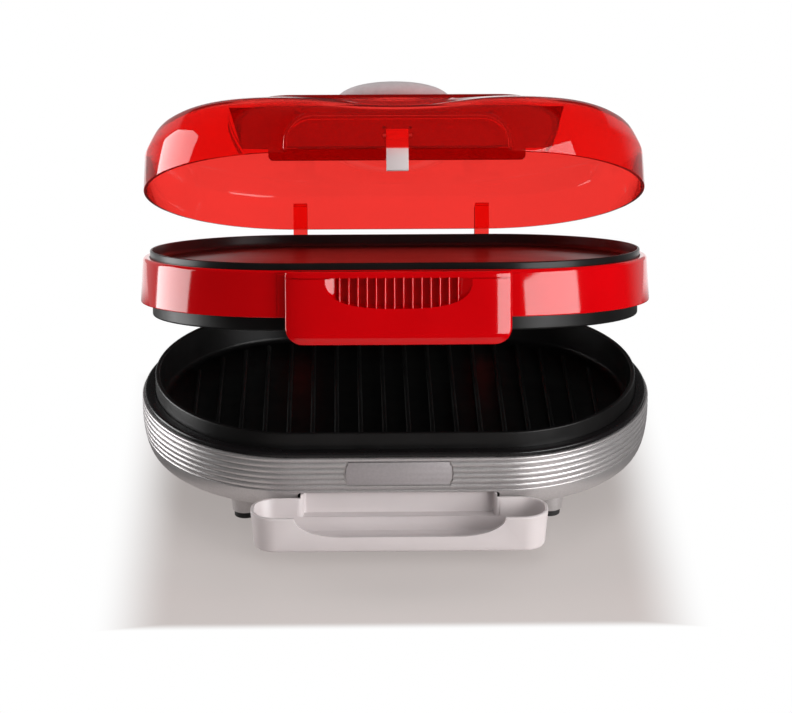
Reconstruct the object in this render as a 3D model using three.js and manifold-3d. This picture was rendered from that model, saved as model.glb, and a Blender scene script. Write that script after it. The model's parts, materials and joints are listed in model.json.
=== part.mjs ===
// A countertop hamburger maker: an oval base with a ribbed grill plate and a drip
// tray, a heated ring with a pan for the buns, and a clear domed lid.
// Millimetres, +Z up, front towards -Y. The origin is on the table, under the middle.
import * as THREE from 'three';
import { mergeVertices } from 'three/addons/utils/BufferGeometryUtils.js';
import Module from 'manifold-3d';

const wasm = await Module();
wasm.setup();

// Fits and facet counts
const gap = 0.3;
const overrun = 6;
const endSteps = 14;
const roundSteps = 10;
const screwShaft = 1.5;
const screwHead = 3;
const screwHeadHeight = 1.8;
const screwHole = screwShaft + gap;

// The oval that the base, the ring and the lid share
const ovalLength = 340;
const ovalDepth = 262.8;
const straightLength = 133.4;
const halfLength = ovalLength / 2;
const halfDepth = ovalDepth / 2;
const halfStraight = straightLength / 2;
const endReach = halfLength - halfStraight;

// The silver base casing
const housingTop = 60;
const housingBottom = 25.4;
const housingWall = 2.4;
const bowlHeight = 26.6;
const bowlReach = 7.5;
const bowlTop = housingBottom + bowlHeight;
const bowlSteps = 4;
const grooveCount = 6;
const groovePitch = 3.82;
const grooveDepth = 0.9;
const firstGroove = 2.9;
const topLip = 1.4;
const bottomLip = 13;
const bottomLipThickness = 2;

// The black ring on the casing and the grill plate in it
const bezelInset = 0.6;
const bezelRise = 3.4;
const bezelRound = 1.4;
const bezelWall = 2;
const bezelLedge = 5.4;
const bezelLedgeThickness = 2;
const bezelTop = housingTop + bezelRise;
const plateInset = 8.9;
const plateRimTop = 74;
const plateRimWidth = 3;
const plateDepth = 23;
const plateThickness = 4.3;
const plateWallSlope = 1.5;
const plateFillet = 2.4;
const plateFloor = plateRimTop - plateDepth;
const plateBottom = plateFloor - plateThickness;
const bezelSkirtInner = plateInset - gap;
const ledgeTop = plateBottom - gap;
const ledgeBottom = ledgeTop - bezelLedgeThickness;

// The grill ribs of both plates
const ribPitch = 15.8;
const ribWidth = 3;
const ribHeight = 3;
const ribMargin = 22;
const ribSink = 0.8;

// The drain of the lower plate
const drainBore = 4;
const drainWall = 1.4;
const drainFromFront = 36;
const drainReach = 9.8;

// Heaters, shields and what is clipped to them
const heaterRadius = 3.15;
const heaterInset = 50;
const heaterTail = 20;
const heaterArcSegments = 3;
const heaterSteps = 34;
const shieldSheet = 1;
const shieldInset = 22;
const shieldFlange = 9;
const thermostatRadius = 9;
const thermostatFromBack = 101.4;
const thermostatPlace = halfDepth - thermostatFromBack;
const fuseRadius = 2.9;
const fuseLength = 24;
const fuseFromBack = 111.4;
const fusePlace = halfDepth - fuseFromBack;

// The tunnel, the cover and the runners under the base
const coverThickness = 2;
const tunnelWall = 1.5;
const tunnelHalfWidth = 65.5;
const tunnelFromBack = 59.4;
const tunnelBack = halfDepth - tunnelFromBack;
const railFlange = 12;
const railSheet = 2.5;
const railLedge = 9;
const railSetback = 27.4;
const railFront = railSetback - halfDepth;
const railOuter = tunnelHalfWidth - gap + railFlange;
const ventLength = 26;
const ventWidth = 3;
const ventPitch = 9;
const ventCount = 5;
const ventFromRail = 1.8;
const ventPlace = railOuter + ventFromRail + ventLength / 2;

// The drip tray
const trayWall = 2;
const trayClearance = 1.3;
const trayTopClearance = 1.2;
const trayHalfWidth = tunnelHalfWidth - gap - trayClearance - trayWall / 2;
const trayBottom = 16.3;
const trayBackClearance = 8;
const trayBack = tunnelBack - trayBackClearance;
const cupHalfWidth = 94.5;
const cupDepth = 36;
const cupBottom = 9.3;
const cupHeight = 24.1;
const cupCorner = 16;
const cupWall = 2.4;
const cupClearance = 0.9;
const dipHalfWidth = 67;
const dipDepth = 13.2;
const dipSlope = 26;
const dipSteps = 4;
const slotClearance = 0.8;

// Feet, posts and screws under the base
const footPlaceShare = 2 / 7;
const footFromSide = 53.4;
const footX = railOuter + (halfLength - bottomLip - railOuter) * footPlaceShare;
const footY = halfDepth - footFromSide;
const footTopRadius = 11;
const footBottomRadius = 8;
const footSpigot = 4;
const footSpigotRise = 5;
const padRadius = 7;
const padHeight = 3.7;
const postAngle = Math.PI / 3;
const postInset = 17;
const postWebInset = 9.5;
const postRadius = 5;
const postHeight = 9;
const coverScrewLength = 9;

// The blank badge panel
const badgeLength = 69;
const badgeHeight = 14.2;
const badgeThickness = 0.8;
const badgePocket = 1.4;
const badgeMiddle = 50.1;
const badgeCorner = 3;

// The terminal block and the cord bush
const blockLength = 40;
const blockWidth = 16;
const blockHeight = 9;
const blockFromBack = 35.4;
const blockPlace = halfDepth - blockFromBack;
const glandHeight = 44;
const glandBore = 3.6;
const glandWall = 2.4;
const glandFlange = 2;
const glandFlangeThickness = 1.8;

// The rear hinge
const axleBehind = 27.2;
const axleY = halfDepth + axleBehind;
const axleZ = 73.1;
const axleRadius = 3;
const axleHead = 5;
const axleHeadThickness = 2;
const bossWall = 5.2;
const bossRadius = axleRadius + gap + bossWall;
const bracketThickness = 10;
const lidArmThickness = 10;
const lidArmClearance = 3.6;
const lidArmToe = 1.2;
const middleArmThickness = 11;
const bracketInner = 70;
const bracketFoot = 22;
const bracketFootTop = 58;
const hingeScrewHeight = 46;
const hingeScrewLength = 11;
const lidArmOuter = bracketInner - gap;
const middleArmOuter = lidArmOuter - lidArmThickness - gap;

// The red ring, measured from its own underside
const ringClosedHeight = 84;
const ringHeight = 29.7;
const ringInset = 0.2;
const ringFlare = 1.8;
const ringWall = 2.6;
const ringChamfer = 1.6;
const ringFlange = 7.5;
const ringFlangeThickness = 2.2;
const ringOpenAngle = 0.236;

// The pan for the buns, in the ring
const panInset = 6.6;
const panRimTop = 34.1;
const panRimWidth = 1.6;
const panDepth = 8.1;
const panSheet = 1.6;
const panFillet = 1.6;
const panStandInset = 8.2;
const panFloor = panRimTop - panDepth;

// The upper grill plate, below the ring
const pressInset = 8;
const pressDrop = 9.2;
const pressRimWidth = 3;
const pressRecess = 5.2;
const pressThickness = 4.3;
const pressFlangeInset = 4;
const pressFlangeThickness = 2;
const pressFloor = pressRecess - pressDrop;
const pressTop = pressFloor + pressThickness;

// The handle on the ring
const handleHalfWidth = 71.5;
const handleDrop = 16.6;
const handleReach = 12;
const handleWall = 2.5;
const handleCorner = 6.5;
const handleBevel = 5.4;
const handleBevelReach = 3;
const handlePocketBottom = 4;
const handleBoss = 4.2;
const handleBossInset = 16.5;
const handleBossX = handleHalfWidth - handleBossInset;
const handleBossZ = 12;
const scoopHalfWidth = 44;
const scoopHeight = 18.5;
const scoopTop = 24.9;
const scoopDepth = 1.2;
const scoopSlots = 14;
const scoopSlotPitch = 5.7;
const scoopSlotWidth = 2.6;

// The clear lid, measured from its own rim
const lidClosedHeight = 30.2;
const lidInset = 1.8;
const lidWall = 2.2;
const lidSide = 21;
const lidDraft = 0.6;
const lidRise = 29;
const lidShoulder = 84;
const lidSteps = 6;
const deckInset = 58;
const deckStep = 2.3;
const deckEdge = 1.5;
const crownRise = 7;
const crownSteps = 3;
const crownReachShare = 0.85;
const valleyDepth = 7;
const valleyHalfWidth = 40;
const valleyFromSide = 31.4;
const valleyFromMiddle = halfDepth - valleyFromSide;
const valleyReach = 20;
const valleySteps = 6;
const lidOpenAngle = 0.263;
const bulgeHalfWidth = 72.5;
const bulgeReach = 11;
const bulgeHeight = 23.4;
const bulgeCorner = 19;

// The cap on the lid
const capHalfLength = 40;
const capHalfWidth = 26;
const capRise = 17;
const capEdge = 1;
const capSteps = 5;

// The latch tongue and its pin
const latchWidth = 14;
const latchThickness = 3;
const latchDrop = 13.4;
const latchTop = 13;
const latchPinHeight = 9;
const latchPinRadius = 1.2;
const latchBossRadius = 3;
const latchBack = 1.6;
const latchEar = 2;
const latchEarRise = 5;
const latchBarb = 1.4;
const latchBarbHeight = 3;
const latchSlotClearance = 1.5;
const latchSlotHalfWidth = latchWidth / 2 + latchSlotClearance;

// Turns a list of corner positions and triangles into a closed body facing outwards
function closedBody(positions, triangles) {
  let volume = 0;
  const corner = (i) => new THREE.Vector3().fromArray(positions, 3 * i);
  for (let i = 0; i < triangles.length; i += 3) {
    const [a, b, c] = [corner(triangles[i]), corner(triangles[i + 1]), corner(triangles[i + 2])];
    volume += a.dot(b.cross(c));
  }
  if (volume < 0) {
    triangles.reverse();
  }
  const geometry = new THREE.BufferGeometry();
  geometry.setAttribute('position', new THREE.Float32BufferAttribute(positions, 3));
  geometry.setIndex(triangles);
  return geometry;
}

// The rounded ends and the straight sides of the oval, as one closed list of points
function ovalPoints(inset, sideSteps) {
  const points = [];
  for (const side of [1, -1]) {
    for (let i = 0; i <= endSteps; i += 1) {
      const angle = Math.PI * (i / endSteps - 1 / 2);
      const x = halfStraight + (endReach - inset) * Math.cos(angle);
      points.push([side * x, side * (halfDepth - inset) * Math.sin(angle)]);
    }
    for (let i = 1; i < sideSteps; i += 1) {
      points.push([side * halfStraight * (1 - 2 * i / sideSteps), side * (halfDepth - inset)]);
    }
  }
  return points;
}

// Sweeps a profile of [inset, height] points round the oval
// An open profile is closed by flat caps, which lie where it starts and ends
function sweepOval(profile, loop = false, lift = () => 0, sideSteps = 1) {
  const positions = [];
  const triangles = [];
  const count = 2 * (endSteps + sideSteps);
  for (const [inset, height] of profile) {
    for (const [x, y] of ovalPoints(inset, sideSteps)) {
      positions.push(x, y, height + lift(x, y));
    }
  }
  const bands = loop ? profile.length : profile.length - 1;
  for (let band = 0; band < bands; band += 1) {
    const low = band * count;
    const high = ((band + 1) % profile.length) * count;
    for (let i = 0; i < count; i += 1) {
      const next = (i + 1) % count;
      triangles.push(low + i, low + next, high + next);
      triangles.push(low + i, high + next, high + i);
    }
  }
  if (!loop) {
    for (const [ring, up] of [[0, false], [profile.length - 1, true]]) {
      const middle = positions.length / 3;
      positions.push(0, 0, profile[ring][1]);
      for (let i = 0; i < count; i += 1) {
        const [a, b] = [ring * count + i, ring * count + ((i + 1) % count)];
        triangles.push(middle, up ? a : b, up ? b : a);
      }
    }
  }
  return closedBody(positions, triangles);
}

// Joins and cuts of closed bodies
function solidOf(geometry) {
  let bare = geometry.clone();
  bare.deleteAttribute('normal');
  bare.deleteAttribute('uv');
  bare = mergeVertices(bare);
  const vertProperties = new Float32Array(bare.attributes.position.array);
  const triVerts = new Uint32Array(bare.index.array);
  return new wasm.Manifold(new wasm.Mesh({ numProp: 3, vertProperties, triVerts }));
}

function geometryOf(solid) {
  const mesh = solid.getMesh();
  const geometry = new THREE.BufferGeometry();
  geometry.setAttribute('position', new THREE.Float32BufferAttribute(mesh.vertProperties, 3));
  geometry.setIndex(new THREE.BufferAttribute(new Uint32Array(mesh.triVerts), 1));
  return geometry;
}

function joined(first, ...others) {
  return geometryOf(others.reduce((sum, other) => sum.add(solidOf(other)), solidOf(first)));
}

function cut(body, ...cutters) {
  return geometryOf(cutters.reduce((rest, tool) => rest.subtract(solidOf(tool)), solidOf(body)));
}

// A box between two corners
function block([x0, y0, z0], [x1, y1, z1]) {
  const box = new THREE.BoxGeometry(x1 - x0, y1 - y0, z1 - z0);
  return box.translate((x0 + x1) / 2, (y0 + y1) / 2, (z0 + z1) / 2);
}

// Round bars along each axis
function barZ(radius, x, y, z0, z1, topRadius = radius) {
  const bar = new THREE.CylinderGeometry(topRadius, radius, z1 - z0, roundSteps);
  return bar.rotateX(Math.PI / 2).translate(x, y, (z0 + z1) / 2);
}

function barY(radius, x, z, y0, y1) {
  const bar = new THREE.CylinderGeometry(radius, radius, y1 - y0, roundSteps);
  return bar.translate(x, (y0 + y1) / 2, z);
}

function barX(radius, y, z, x0, x1) {
  const bar = new THREE.CylinderGeometry(radius, radius, x1 - x0, roundSteps);
  return bar.rotateZ(Math.PI / 2).translate((x0 + x1) / 2, y, z);
}

// Flat outlines and what is extruded from them
function roundedShape(halfWidth, halfHeight, radius) {
  const shape = new THREE.Shape();
  const [x, y] = [halfWidth - radius, halfHeight - radius];
  shape.absarc(x, y, radius, 0, Math.PI / 2);
  shape.absarc(-x, y, radius, Math.PI / 2, Math.PI);
  shape.absarc(-x, -y, radius, Math.PI, 3 * Math.PI / 2);
  shape.absarc(x, -y, radius, 3 * Math.PI / 2, 2 * Math.PI);
  return shape;
}

function polygon(points) {
  return new THREE.Shape(points.map(([x, y]) => new THREE.Vector2(x, y)));
}

function extruded(shape, depth, curveSegments = 3) {
  return new THREE.ExtrudeGeometry(shape, { depth, bevelEnabled: false, curveSegments });
}

// An outline of [y, z] points, extruded along X
function slabX(shape, x0, x1) {
  const turn = new THREE.Matrix4().makeBasis(
    new THREE.Vector3(0, 1, 0),
    new THREE.Vector3(0, 0, 1),
    new THREE.Vector3(1, 0, 0),
  );
  return extruded(shape, x1 - x0).applyMatrix4(turn).translate(x0, 0, 0);
}

// An outline of [x, z] points, extruded along Y
function slabY(shape, y0, y1) {
  return extruded(shape, y1 - y0).rotateX(Math.PI / 2).translate(0, y1, 0);
}

// A profile of [radius, height] points, turned about Y
function turned(profile, steps = roundSteps) {
  return new THREE.LatheGeometry(profile.map(([x, y]) => new THREE.Vector2(x, y)), steps);
}

// A screw along Y with its head before the start of the shaft
function screwGeometry(length) {
  const profile = [
    [0, -screwHeadHeight], [screwHead, -screwHeadHeight], [screwHead, 0],
    [screwShaft, 0], [screwShaft, length], [0, length],
  ];
  return turned(profile);
}

// How far the bowl of the casing draws in at a height
function bowlInset(z) {
  const drop = Math.min(1, Math.max(0, (bowlTop - z) / bowlHeight));
  return bowlReach * (1 - Math.sqrt(1 - drop * drop));
}

// The same for the inside of its wall
function innerInset(z) {
  const drop = Math.min(1, Math.max(0, (bowlTop - z) / (bowlHeight - bottomLipThickness)));
  return housingWall + bowlReach * (1 - Math.sqrt(1 - drop * drop));
}

function bowlCurve(fromAngle, inset, height) {
  const points = [];
  for (let i = 1; i <= bowlSteps; i += 1) {
    const angle = fromAngle + (Math.PI / 2 - fromAngle) * (i / bowlSteps);
    points.push([inset + bowlReach * (1 - Math.cos(angle)), bowlTop - height * Math.sin(angle)]);
  }
  return points;
}

// One post in each quarter of the casing
function postPlaces(inset) {
  const x = halfStraight + (endReach - inset) * Math.cos(postAngle);
  const y = (halfDepth - inset) * Math.sin(postAngle);
  return [[x, y], [-x, y], [-x, -y], [x, -y]];
}

function baseHousing() {
  const outline = [[0, housingTop], [0, housingTop - topLip]];
  let ridge = housingTop;
  for (let i = 0; i < grooveCount; i += 1) {
    const groove = housingTop - firstGroove - i * groovePitch;
    ridge = groove - groovePitch / 2;
    outline.push([bowlInset(groove) + grooveDepth, groove], [bowlInset(ridge), ridge]);
  }
  const ridgeAngle = Math.asin(Math.min(1, Math.max(0, (bowlTop - ridge) / bowlHeight)));
  outline.push(...bowlCurve(ridgeAngle, 0, bowlHeight));
  outline.push([bottomLip, housingBottom], [bottomLip, housingBottom + bottomLipThickness]);
  outline.push(...bowlCurve(0, housingWall, bowlHeight - bottomLipThickness).reverse());
  outline.push([housingWall, bowlTop], [housingWall, housingTop]);
  const shell = sweepOval(outline, true);
  const lipTop = housingBottom + bottomLipThickness;
  const posts = postPlaces(postInset).concat(postPlaces(postWebInset)).map(
    ([x, y]) => barZ(postRadius, x, y, lipTop - gap, lipTop + gap + postHeight),
  );
  const undersides = postPlaces(postInset).map(
    ([x, y]) => barZ(postRadius + gap, x, y, housingBottom - overrun, lipTop + gap),
  );
  const screwHoles = postPlaces(postInset).map(
    ([x, y]) => barZ(screwHole, x, y, housingBottom - overrun, lipTop + coverScrewLength),
  );
  const badge = badgeOutline(gap);
  const pocket = slabY(badge, -halfDepth - overrun, -halfDepth + badgePocket)
    .translate(0, 0, badgeMiddle);
  const slot = block(
    [-tunnelHalfWidth + slotClearance, -halfDepth - overrun, housingBottom - overrun],
    [tunnelHalfWidth - slotClearance, -halfDepth + bottomLip + overrun, slotTop()],
  );
  const cordHole = barY(glandBore + glandWall + gap, 0, glandHeight,
    halfDepth - bottomLip, halfDepth + overrun);
  const hingeHoles = [-1, 1].map((side) => barY(screwHole, side * bracketMiddle(),
    hingeScrewHeight, halfDepth - bottomLip, halfDepth + overrun));
  return cut(joined(shell, ...posts), ...undersides, ...screwHoles, pocket, slot,
    cordHole, ...hingeHoles);
}

function badgeOutline(spread) {
  return roundedShape(badgeLength / 2 + spread, badgeHeight / 2 + spread, badgeCorner);
}

function frontNameplate() {
  const back = -halfDepth + badgePocket - gap;
  return slabY(badgeOutline(0), back - badgeThickness, back).translate(0, 0, badgeMiddle);
}

function baseBezel() {
  const skirtOuter = bezelSkirtInner - bezelWall;
  const ledgeInner = bezelSkirtInner + bezelLedge;
  return sweepOval([
    [bezelInset, housingTop + gap],
    [bezelInset, bezelTop - bezelRound],
    [bezelInset + bezelRound, bezelTop],
    [bezelSkirtInner, bezelTop],
    [bezelSkirtInner, ledgeTop],
    [ledgeInner, ledgeTop],
    [ledgeInner, ledgeBottom],
    [skirtOuter, ledgeBottom],
    [skirtOuter, housingTop + gap],
  ], true);
}

// The bars that mark the meat, inside an oval drawn in by the margin
function ribBars(low, high) {
  const bars = [];
  const reach = halfLength - ribMargin - ribWidth;
  for (let x = ribPitch / 2; x < reach; x += ribPitch) {
    const past = Math.max(0, x + ribWidth / 2 - halfStraight) / (endReach - ribMargin);
    const y = (halfDepth - ribMargin) * Math.sqrt(1 - past * past);
    for (const side of [-1, 1]) {
      const middle = side * x;
      bars.push(block([middle - ribWidth / 2, -y, low], [middle + ribWidth / 2, y, high]));
    }
  }
  return bars;
}

function drainY() {
  return drainFromFront - halfDepth;
}

function lowerGrillPlate() {
  const inner = plateInset + plateRimWidth;
  const dish = sweepOval([
    [plateInset + plateFillet, plateBottom],
    [plateInset, plateBottom + plateFillet],
    [plateInset, plateRimTop],
    [inner, plateRimTop],
    [inner + plateWallSlope, plateFloor + plateFillet],
    [inner + plateWallSlope + plateFillet, plateFloor],
  ]);
  const spoutEnd = plateBottom - drainReach;
  const spout = barZ(drainBore + drainWall, 0, drainY(), spoutEnd, plateFloor - gap);
  const bore = barZ(drainBore, 0, drainY(), spoutEnd - overrun, plateFloor + overrun);
  const ribs = ribBars(plateFloor - ribSink, plateFloor + ribHeight);
  return cut(joined(dish, spout, ...ribs), bore);
}

// A heater loop that runs round the oval and turns its two tails to the back
function heaterGeometry(height) {
  const points = [];
  const tailY = halfDepth - heaterInset;
  const steps = 8;
  points.push(new THREE.Vector3(-heaterTail, tailY + heaterTail, height));
  points.push(new THREE.Vector3(-heaterTail - heaterRadius, tailY + heaterRadius, height));
  for (const side of [-1, 1]) {
    for (let i = 0; i <= steps; i += 1) {
      const angle = Math.PI * (1 / 2 - i / steps) * -side;
      const x = halfStraight + (endReach - heaterInset) * Math.cos(angle);
      points.push(new THREE.Vector3(side * x, tailY * Math.sin(angle), height));
    }
  }
  points.push(new THREE.Vector3(heaterTail + heaterRadius, tailY + heaterRadius, height));
  points.push(new THREE.Vector3(heaterTail, tailY + heaterTail, height));
  const section = new THREE.Shape();
  section.absarc(0, 0, heaterRadius, 0, 2 * Math.PI);
  const path = new THREE.CatmullRomCurve3(points, false, 'centripetal');
  return new THREE.ExtrudeGeometry(section, {
    steps: heaterSteps,
    curveSegments: heaterArcSegments,
    extrudePath: path,
  });
}

const lowerHeaterHeight = plateBottom - gap - heaterRadius;
const shieldTop = lowerHeaterHeight - heaterRadius - gap;
const shieldBottom = shieldTop - shieldSheet;
const tunnelTop = shieldBottom - gap;
const tunnelRoof = tunnelTop - tunnelWall;

function slotTop() {
  return tunnelRoof - slotClearance;
}

function trayTop() {
  return tunnelRoof - trayTopClearance - gap;
}

function lowerHeatShield() {
  const flangeTop = ledgeBottom - gap;
  const dish = sweepOval([
    [shieldInset, shieldBottom],
    [shieldInset - shieldSheet, flangeTop - shieldSheet],
    [shieldFlange, flangeTop - shieldSheet],
    [shieldFlange, flangeTop],
    [shieldInset, flangeTop],
    [shieldInset + shieldSheet, shieldTop],
  ]);
  const drainHole = barZ(drainBore + drainWall + gap, 0, drainY(),
    shieldBottom - overrun, plateBottom);
  return cut(dish, drainHole);
}

function lowerThermostat() {
  return barZ(thermostatRadius, 0, thermostatPlace, shieldTop + gap, plateBottom - gap);
}

function bottomCover() {
  const top = housingBottom + coverThickness;
  const plate = sweepOval([[bottomLip + gap, housingBottom], [bottomLip + gap, top]]);
  const frontWall = housingWall + bowlReach + gap - halfDepth;
  const tunnel = block(
    [-tunnelHalfWidth - tunnelWall, frontWall, housingBottom],
    [tunnelHalfWidth + tunnelWall, tunnelBack, tunnelTop],
  );
  const bore = block(
    [-tunnelHalfWidth, -halfDepth - overrun, housingBottom - overrun],
    [tunnelHalfWidth, tunnelBack - tunnelWall, tunnelRoof],
  );
  const lipCut = cut(
    sweepOval([[-overrun, housingBottom - overrun], [-overrun, top + gap]]),
    sweepOval([[bottomLip + gap, housingBottom - overrun * 2], [bottomLip + gap, top + overrun]]),
  );
  const drainHole = barZ(drainBore + drainWall + gap, 0, drainY(),
    tunnelRoof - overrun, tunnelTop + overrun);
  const vents = [];
  for (const side of [-1, 1]) {
    for (let i = 0; i < ventCount; i += 1) {
      const y = (i - (ventCount - 1) / 2) * ventPitch;
      vents.push(block(
        [side * ventPlace - ventLength / 2, y - ventWidth / 2, housingBottom - overrun],
        [side * ventPlace + ventLength / 2, y + ventWidth / 2, top + overrun],
      ));
    }
  }
  const holes = postPlaces(postInset).map(
    ([x, y]) => barZ(screwHole, x, y, housingBottom - overrun, top + overrun),
  );
  const sockets = footPlaces().map(
    ([, x, y]) => barZ(footSpigot + gap, x, y, housingBottom - overrun, top + overrun),
  );
  return cut(joined(plate, tunnel), lipCut, bore, drainHole, ...vents, ...holes, ...sockets);
}

function footPlaces() {
  return [
    ['front_left', -footX, -footY], ['front_right', footX, -footY],
    ['back_left', -footX, footY], ['back_right', footX, footY],
  ];
}

function footGeometry(x, y) {
  const top = housingBottom - gap;
  const leg = barZ(footBottomRadius, x, y, padHeight + gap, top, footTopRadius);
  const spigot = barZ(footSpigot, x, y, top - gap, top + footSpigotRise);
  return joined(leg, spigot);
}

function padGeometry(x, y) {
  return barZ(padRadius, x, y, 0, padHeight);
}

function coverScrew(x, y) {
  return screwGeometry(coverScrewLength).rotateX(Math.PI / 2)
    .translate(x, y, housingBottom - gap);
}

function trayRail(side) {
  const top = housingBottom - gap;
  const ledge = trayBottom - gap;
  const inner = tunnelHalfWidth - gap;
  const section = [
    [inner - railLedge, ledge - railSheet], [inner + railSheet, ledge - railSheet],
    [inner + railSheet, top - railSheet], [inner + railFlange, top - railSheet],
    [inner + railFlange, top], [inner, top], [inner, ledge], [inner - railLedge, ledge],
  ];
  const outline = polygon(section.map(([x, z]) => [side * x, z]));
  return slabY(outline, railFront, tunnelBack);
}

// The finger dip in the front of the cup, whose sides fall away in a soft curve
function dipShape(top) {
  const side = [];
  for (let i = 0; i <= dipSteps; i += 1) {
    const angle = Math.PI / 2 * (i / dipSteps);
    side.push([dipHalfWidth - dipSlope * (1 - Math.cos(angle)), top - dipDepth * Math.sin(angle)]);
  }
  const mirrored = side.map(([x, z]) => [-x, z]).reverse();
  const above = top + overrun;
  return polygon([[dipHalfWidth, above], ...side, ...mirrored, [-dipHalfWidth, above]]);
}

function dripTray() {
  const top = trayTop();
  const cupBack = bowlInset(slotTop()) - halfDepth - cupClearance;
  const cupFront = cupBack - cupDepth;
  const cupTop = cupBottom + cupHeight;
  const cupMiddle = (cupBack + cupFront) / 2;
  const cup = extruded(roundedShape(cupHalfWidth, cupDepth / 2, cupCorner), cupHeight)
    .translate(0, cupMiddle, cupBottom);
  const cupHollow = extruded(
    roundedShape(cupHalfWidth - cupWall, cupDepth / 2 - cupWall, cupCorner - cupWall), cupHeight,
  ).translate(0, cupMiddle, cupBottom + cupWall);
  const body = block([-trayHalfWidth, cupBack - cupWall, trayBottom],
    [trayHalfWidth, trayBack, top]);
  const hollow = block(
    [trayWall - trayHalfWidth, cupBack + cupWall, trayBottom + trayWall],
    [trayHalfWidth - trayWall, trayBack - trayWall, top + overrun],
  );
  const dip = slabY(dipShape(cupTop), cupFront - overrun, cupFront + cupWall + gap);
  return cut(joined(cut(cup, cupHollow), body), hollow, dip);
}

function terminalBlock() {
  const low = housingBottom + coverThickness + gap;
  return block([-blockLength / 2, blockPlace - blockWidth / 2, low],
    [blockLength / 2, blockPlace + blockWidth / 2, low + blockHeight]);
}

function cordGland() {
  const neck = glandBore + glandWall;
  const rim = neck + glandFlange;
  const outside = halfDepth + gap;
  const inside = halfDepth - innerInset(glandHeight - rim) - gap;
  const profile = [
    [glandBore, inside - glandFlangeThickness], [rim, inside - glandFlangeThickness],
    [rim, inside], [neck, inside], [neck, outside], [rim, outside],
    [rim, outside + glandFlangeThickness], [glandBore, outside + glandFlangeThickness],
    [glandBore, inside - glandFlangeThickness],
  ];
  return turned(profile).translate(0, 0, glandHeight);
}

function bracketMiddle() {
  return bracketInner + bracketThickness / 2;
}

// An arm outline from a foot against a wall to the boss on the axle
function armOutline(foot, y, z, fromAngle, toAngle) {
  const points = [...foot];
  const steps = 8;
  for (let i = 0; i <= steps; i += 1) {
    const angle = fromAngle + (toAngle - fromAngle) * (i / steps);
    points.push([y + bossRadius * Math.cos(angle), z + bossRadius * Math.sin(angle)]);
  }
  return polygon(points);
}

function boredArm(outline, z, side, inner, outer) {
  const [x0, x1] = side > 0 ? [inner, outer] : [-outer, -inner];
  return cut(slabX(outline, x0, x1), barX(axleRadius + gap, axleY, z, x0 - overrun, x1 + overrun));
}

function hingeBracket(side) {
  const wall = halfDepth + gap;
  const foot = [[wall, bracketFootTop], [wall, bracketFootTop - bracketFoot]];
  const outline = armOutline(foot, axleY, axleZ, -Math.PI / 3, 3 * Math.PI / 4);
  const arm = boredArm(outline, axleZ, side, bracketInner, bracketInner + bracketThickness);
  const hole = barY(screwHole, side * bracketMiddle(), hingeScrewHeight,
    wall - overrun, wall + hingeScrewLength);
  return cut(arm, hole);
}

function hingeScrew(side) {
  const head = halfDepth - innerInset(hingeScrewHeight - screwHead) - gap - bracketLag();
  return screwGeometry(hingeScrewLength).translate(side * bracketMiddle(), head, hingeScrewHeight);
}

// How far the casing's first facet has turned away where the bracket stands
function bracketLag() {
  const facet = Math.PI / endSteps;
  const past = Math.max(0, bracketMiddle() + screwHead - halfStraight);
  return halfDepth * (1 - Math.cos(facet)) * past / (endReach * Math.sin(facet));
}

function hingeAxle() {
  const inner = bracketInner + bracketThickness + gap;
  const outer = inner + axleHeadThickness;
  const profile = [
    [0, -outer], [axleHead, -outer], [axleHead, -inner], [axleRadius, -inner],
    [axleRadius, inner], [axleHead, inner], [axleHead, outer], [0, outer],
  ];
  return turned(profile).rotateZ(Math.PI / 2).translate(0, axleY, axleZ);
}

// The ring and what it holds: heights are from the ring's underside
function middleHousing() {
  const inner = ringInset + ringWall;
  const top = ringInset + ringFlare + ringChamfer;
  const shell = sweepOval([
    [ringInset, 0],
    [ringInset + ringFlare, ringHeight - ringChamfer],
    [top, ringHeight],
    [panInset - gap, ringHeight],
    [panInset - gap, ringHeight - ringWall],
    [ringFlare + inner, ringHeight - ringWall],
    [inner, ringFlangeThickness],
    [ringInset + ringFlange, ringFlangeThickness],
    [ringInset + ringFlange, 0],
  ], true);
  const holes = [-1, 1].map((side) => barY(screwHole, side * handleBossX, handleBossZ,
    -halfDepth - overrun, ringFlange - halfDepth));
  const latchWay = block(
    [-latchSlotHalfWidth, -halfDepth - overrun, ringHeight - ringWall - latchDrop],
    [latchSlotHalfWidth, latchSlotBack(), ringHeight + overrun],
  );
  return cut(shell, ...holes, latchWay);
}

function bunPan() {
  const inner = panInset + panRimWidth;
  return sweepOval([
    [inner + panFillet, panFloor - panSheet],
    [panInset, panFloor - panSheet],
    [panInset, panRimTop],
    [inner, panRimTop],
    [inner + panRimWidth / 2, panFloor + panFillet],
    [inner + panFillet + panRimWidth / 2, panFloor],
  ]);
}

function upperGrillPlate() {
  const flangeLow = ringFlangeThickness + gap;
  const inner = pressInset + pressRimWidth;
  const dish = sweepOval([
    [inner + plateWallSlope + plateFillet, pressFloor],
    [inner, -pressDrop],
    [pressInset, -pressDrop],
    [pressInset, flangeLow],
    [pressFlangeInset, flangeLow],
    [pressFlangeInset, flangeLow + pressFlangeThickness],
    [inner, flangeLow + pressFlangeThickness],
    [inner + plateFillet, pressTop],
  ]);
  return joined(dish, ...ribBars(pressFloor - ribHeight, pressFloor + ribSink));
}

const upperHeaterHeight = pressTop + gap + heaterRadius;
const upperShieldFlange = ringFlangeThickness + gap + pressFlangeThickness + gap;

function upperShieldFlangeTop() {
  return upperShieldFlange + shieldSheet;
}

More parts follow.
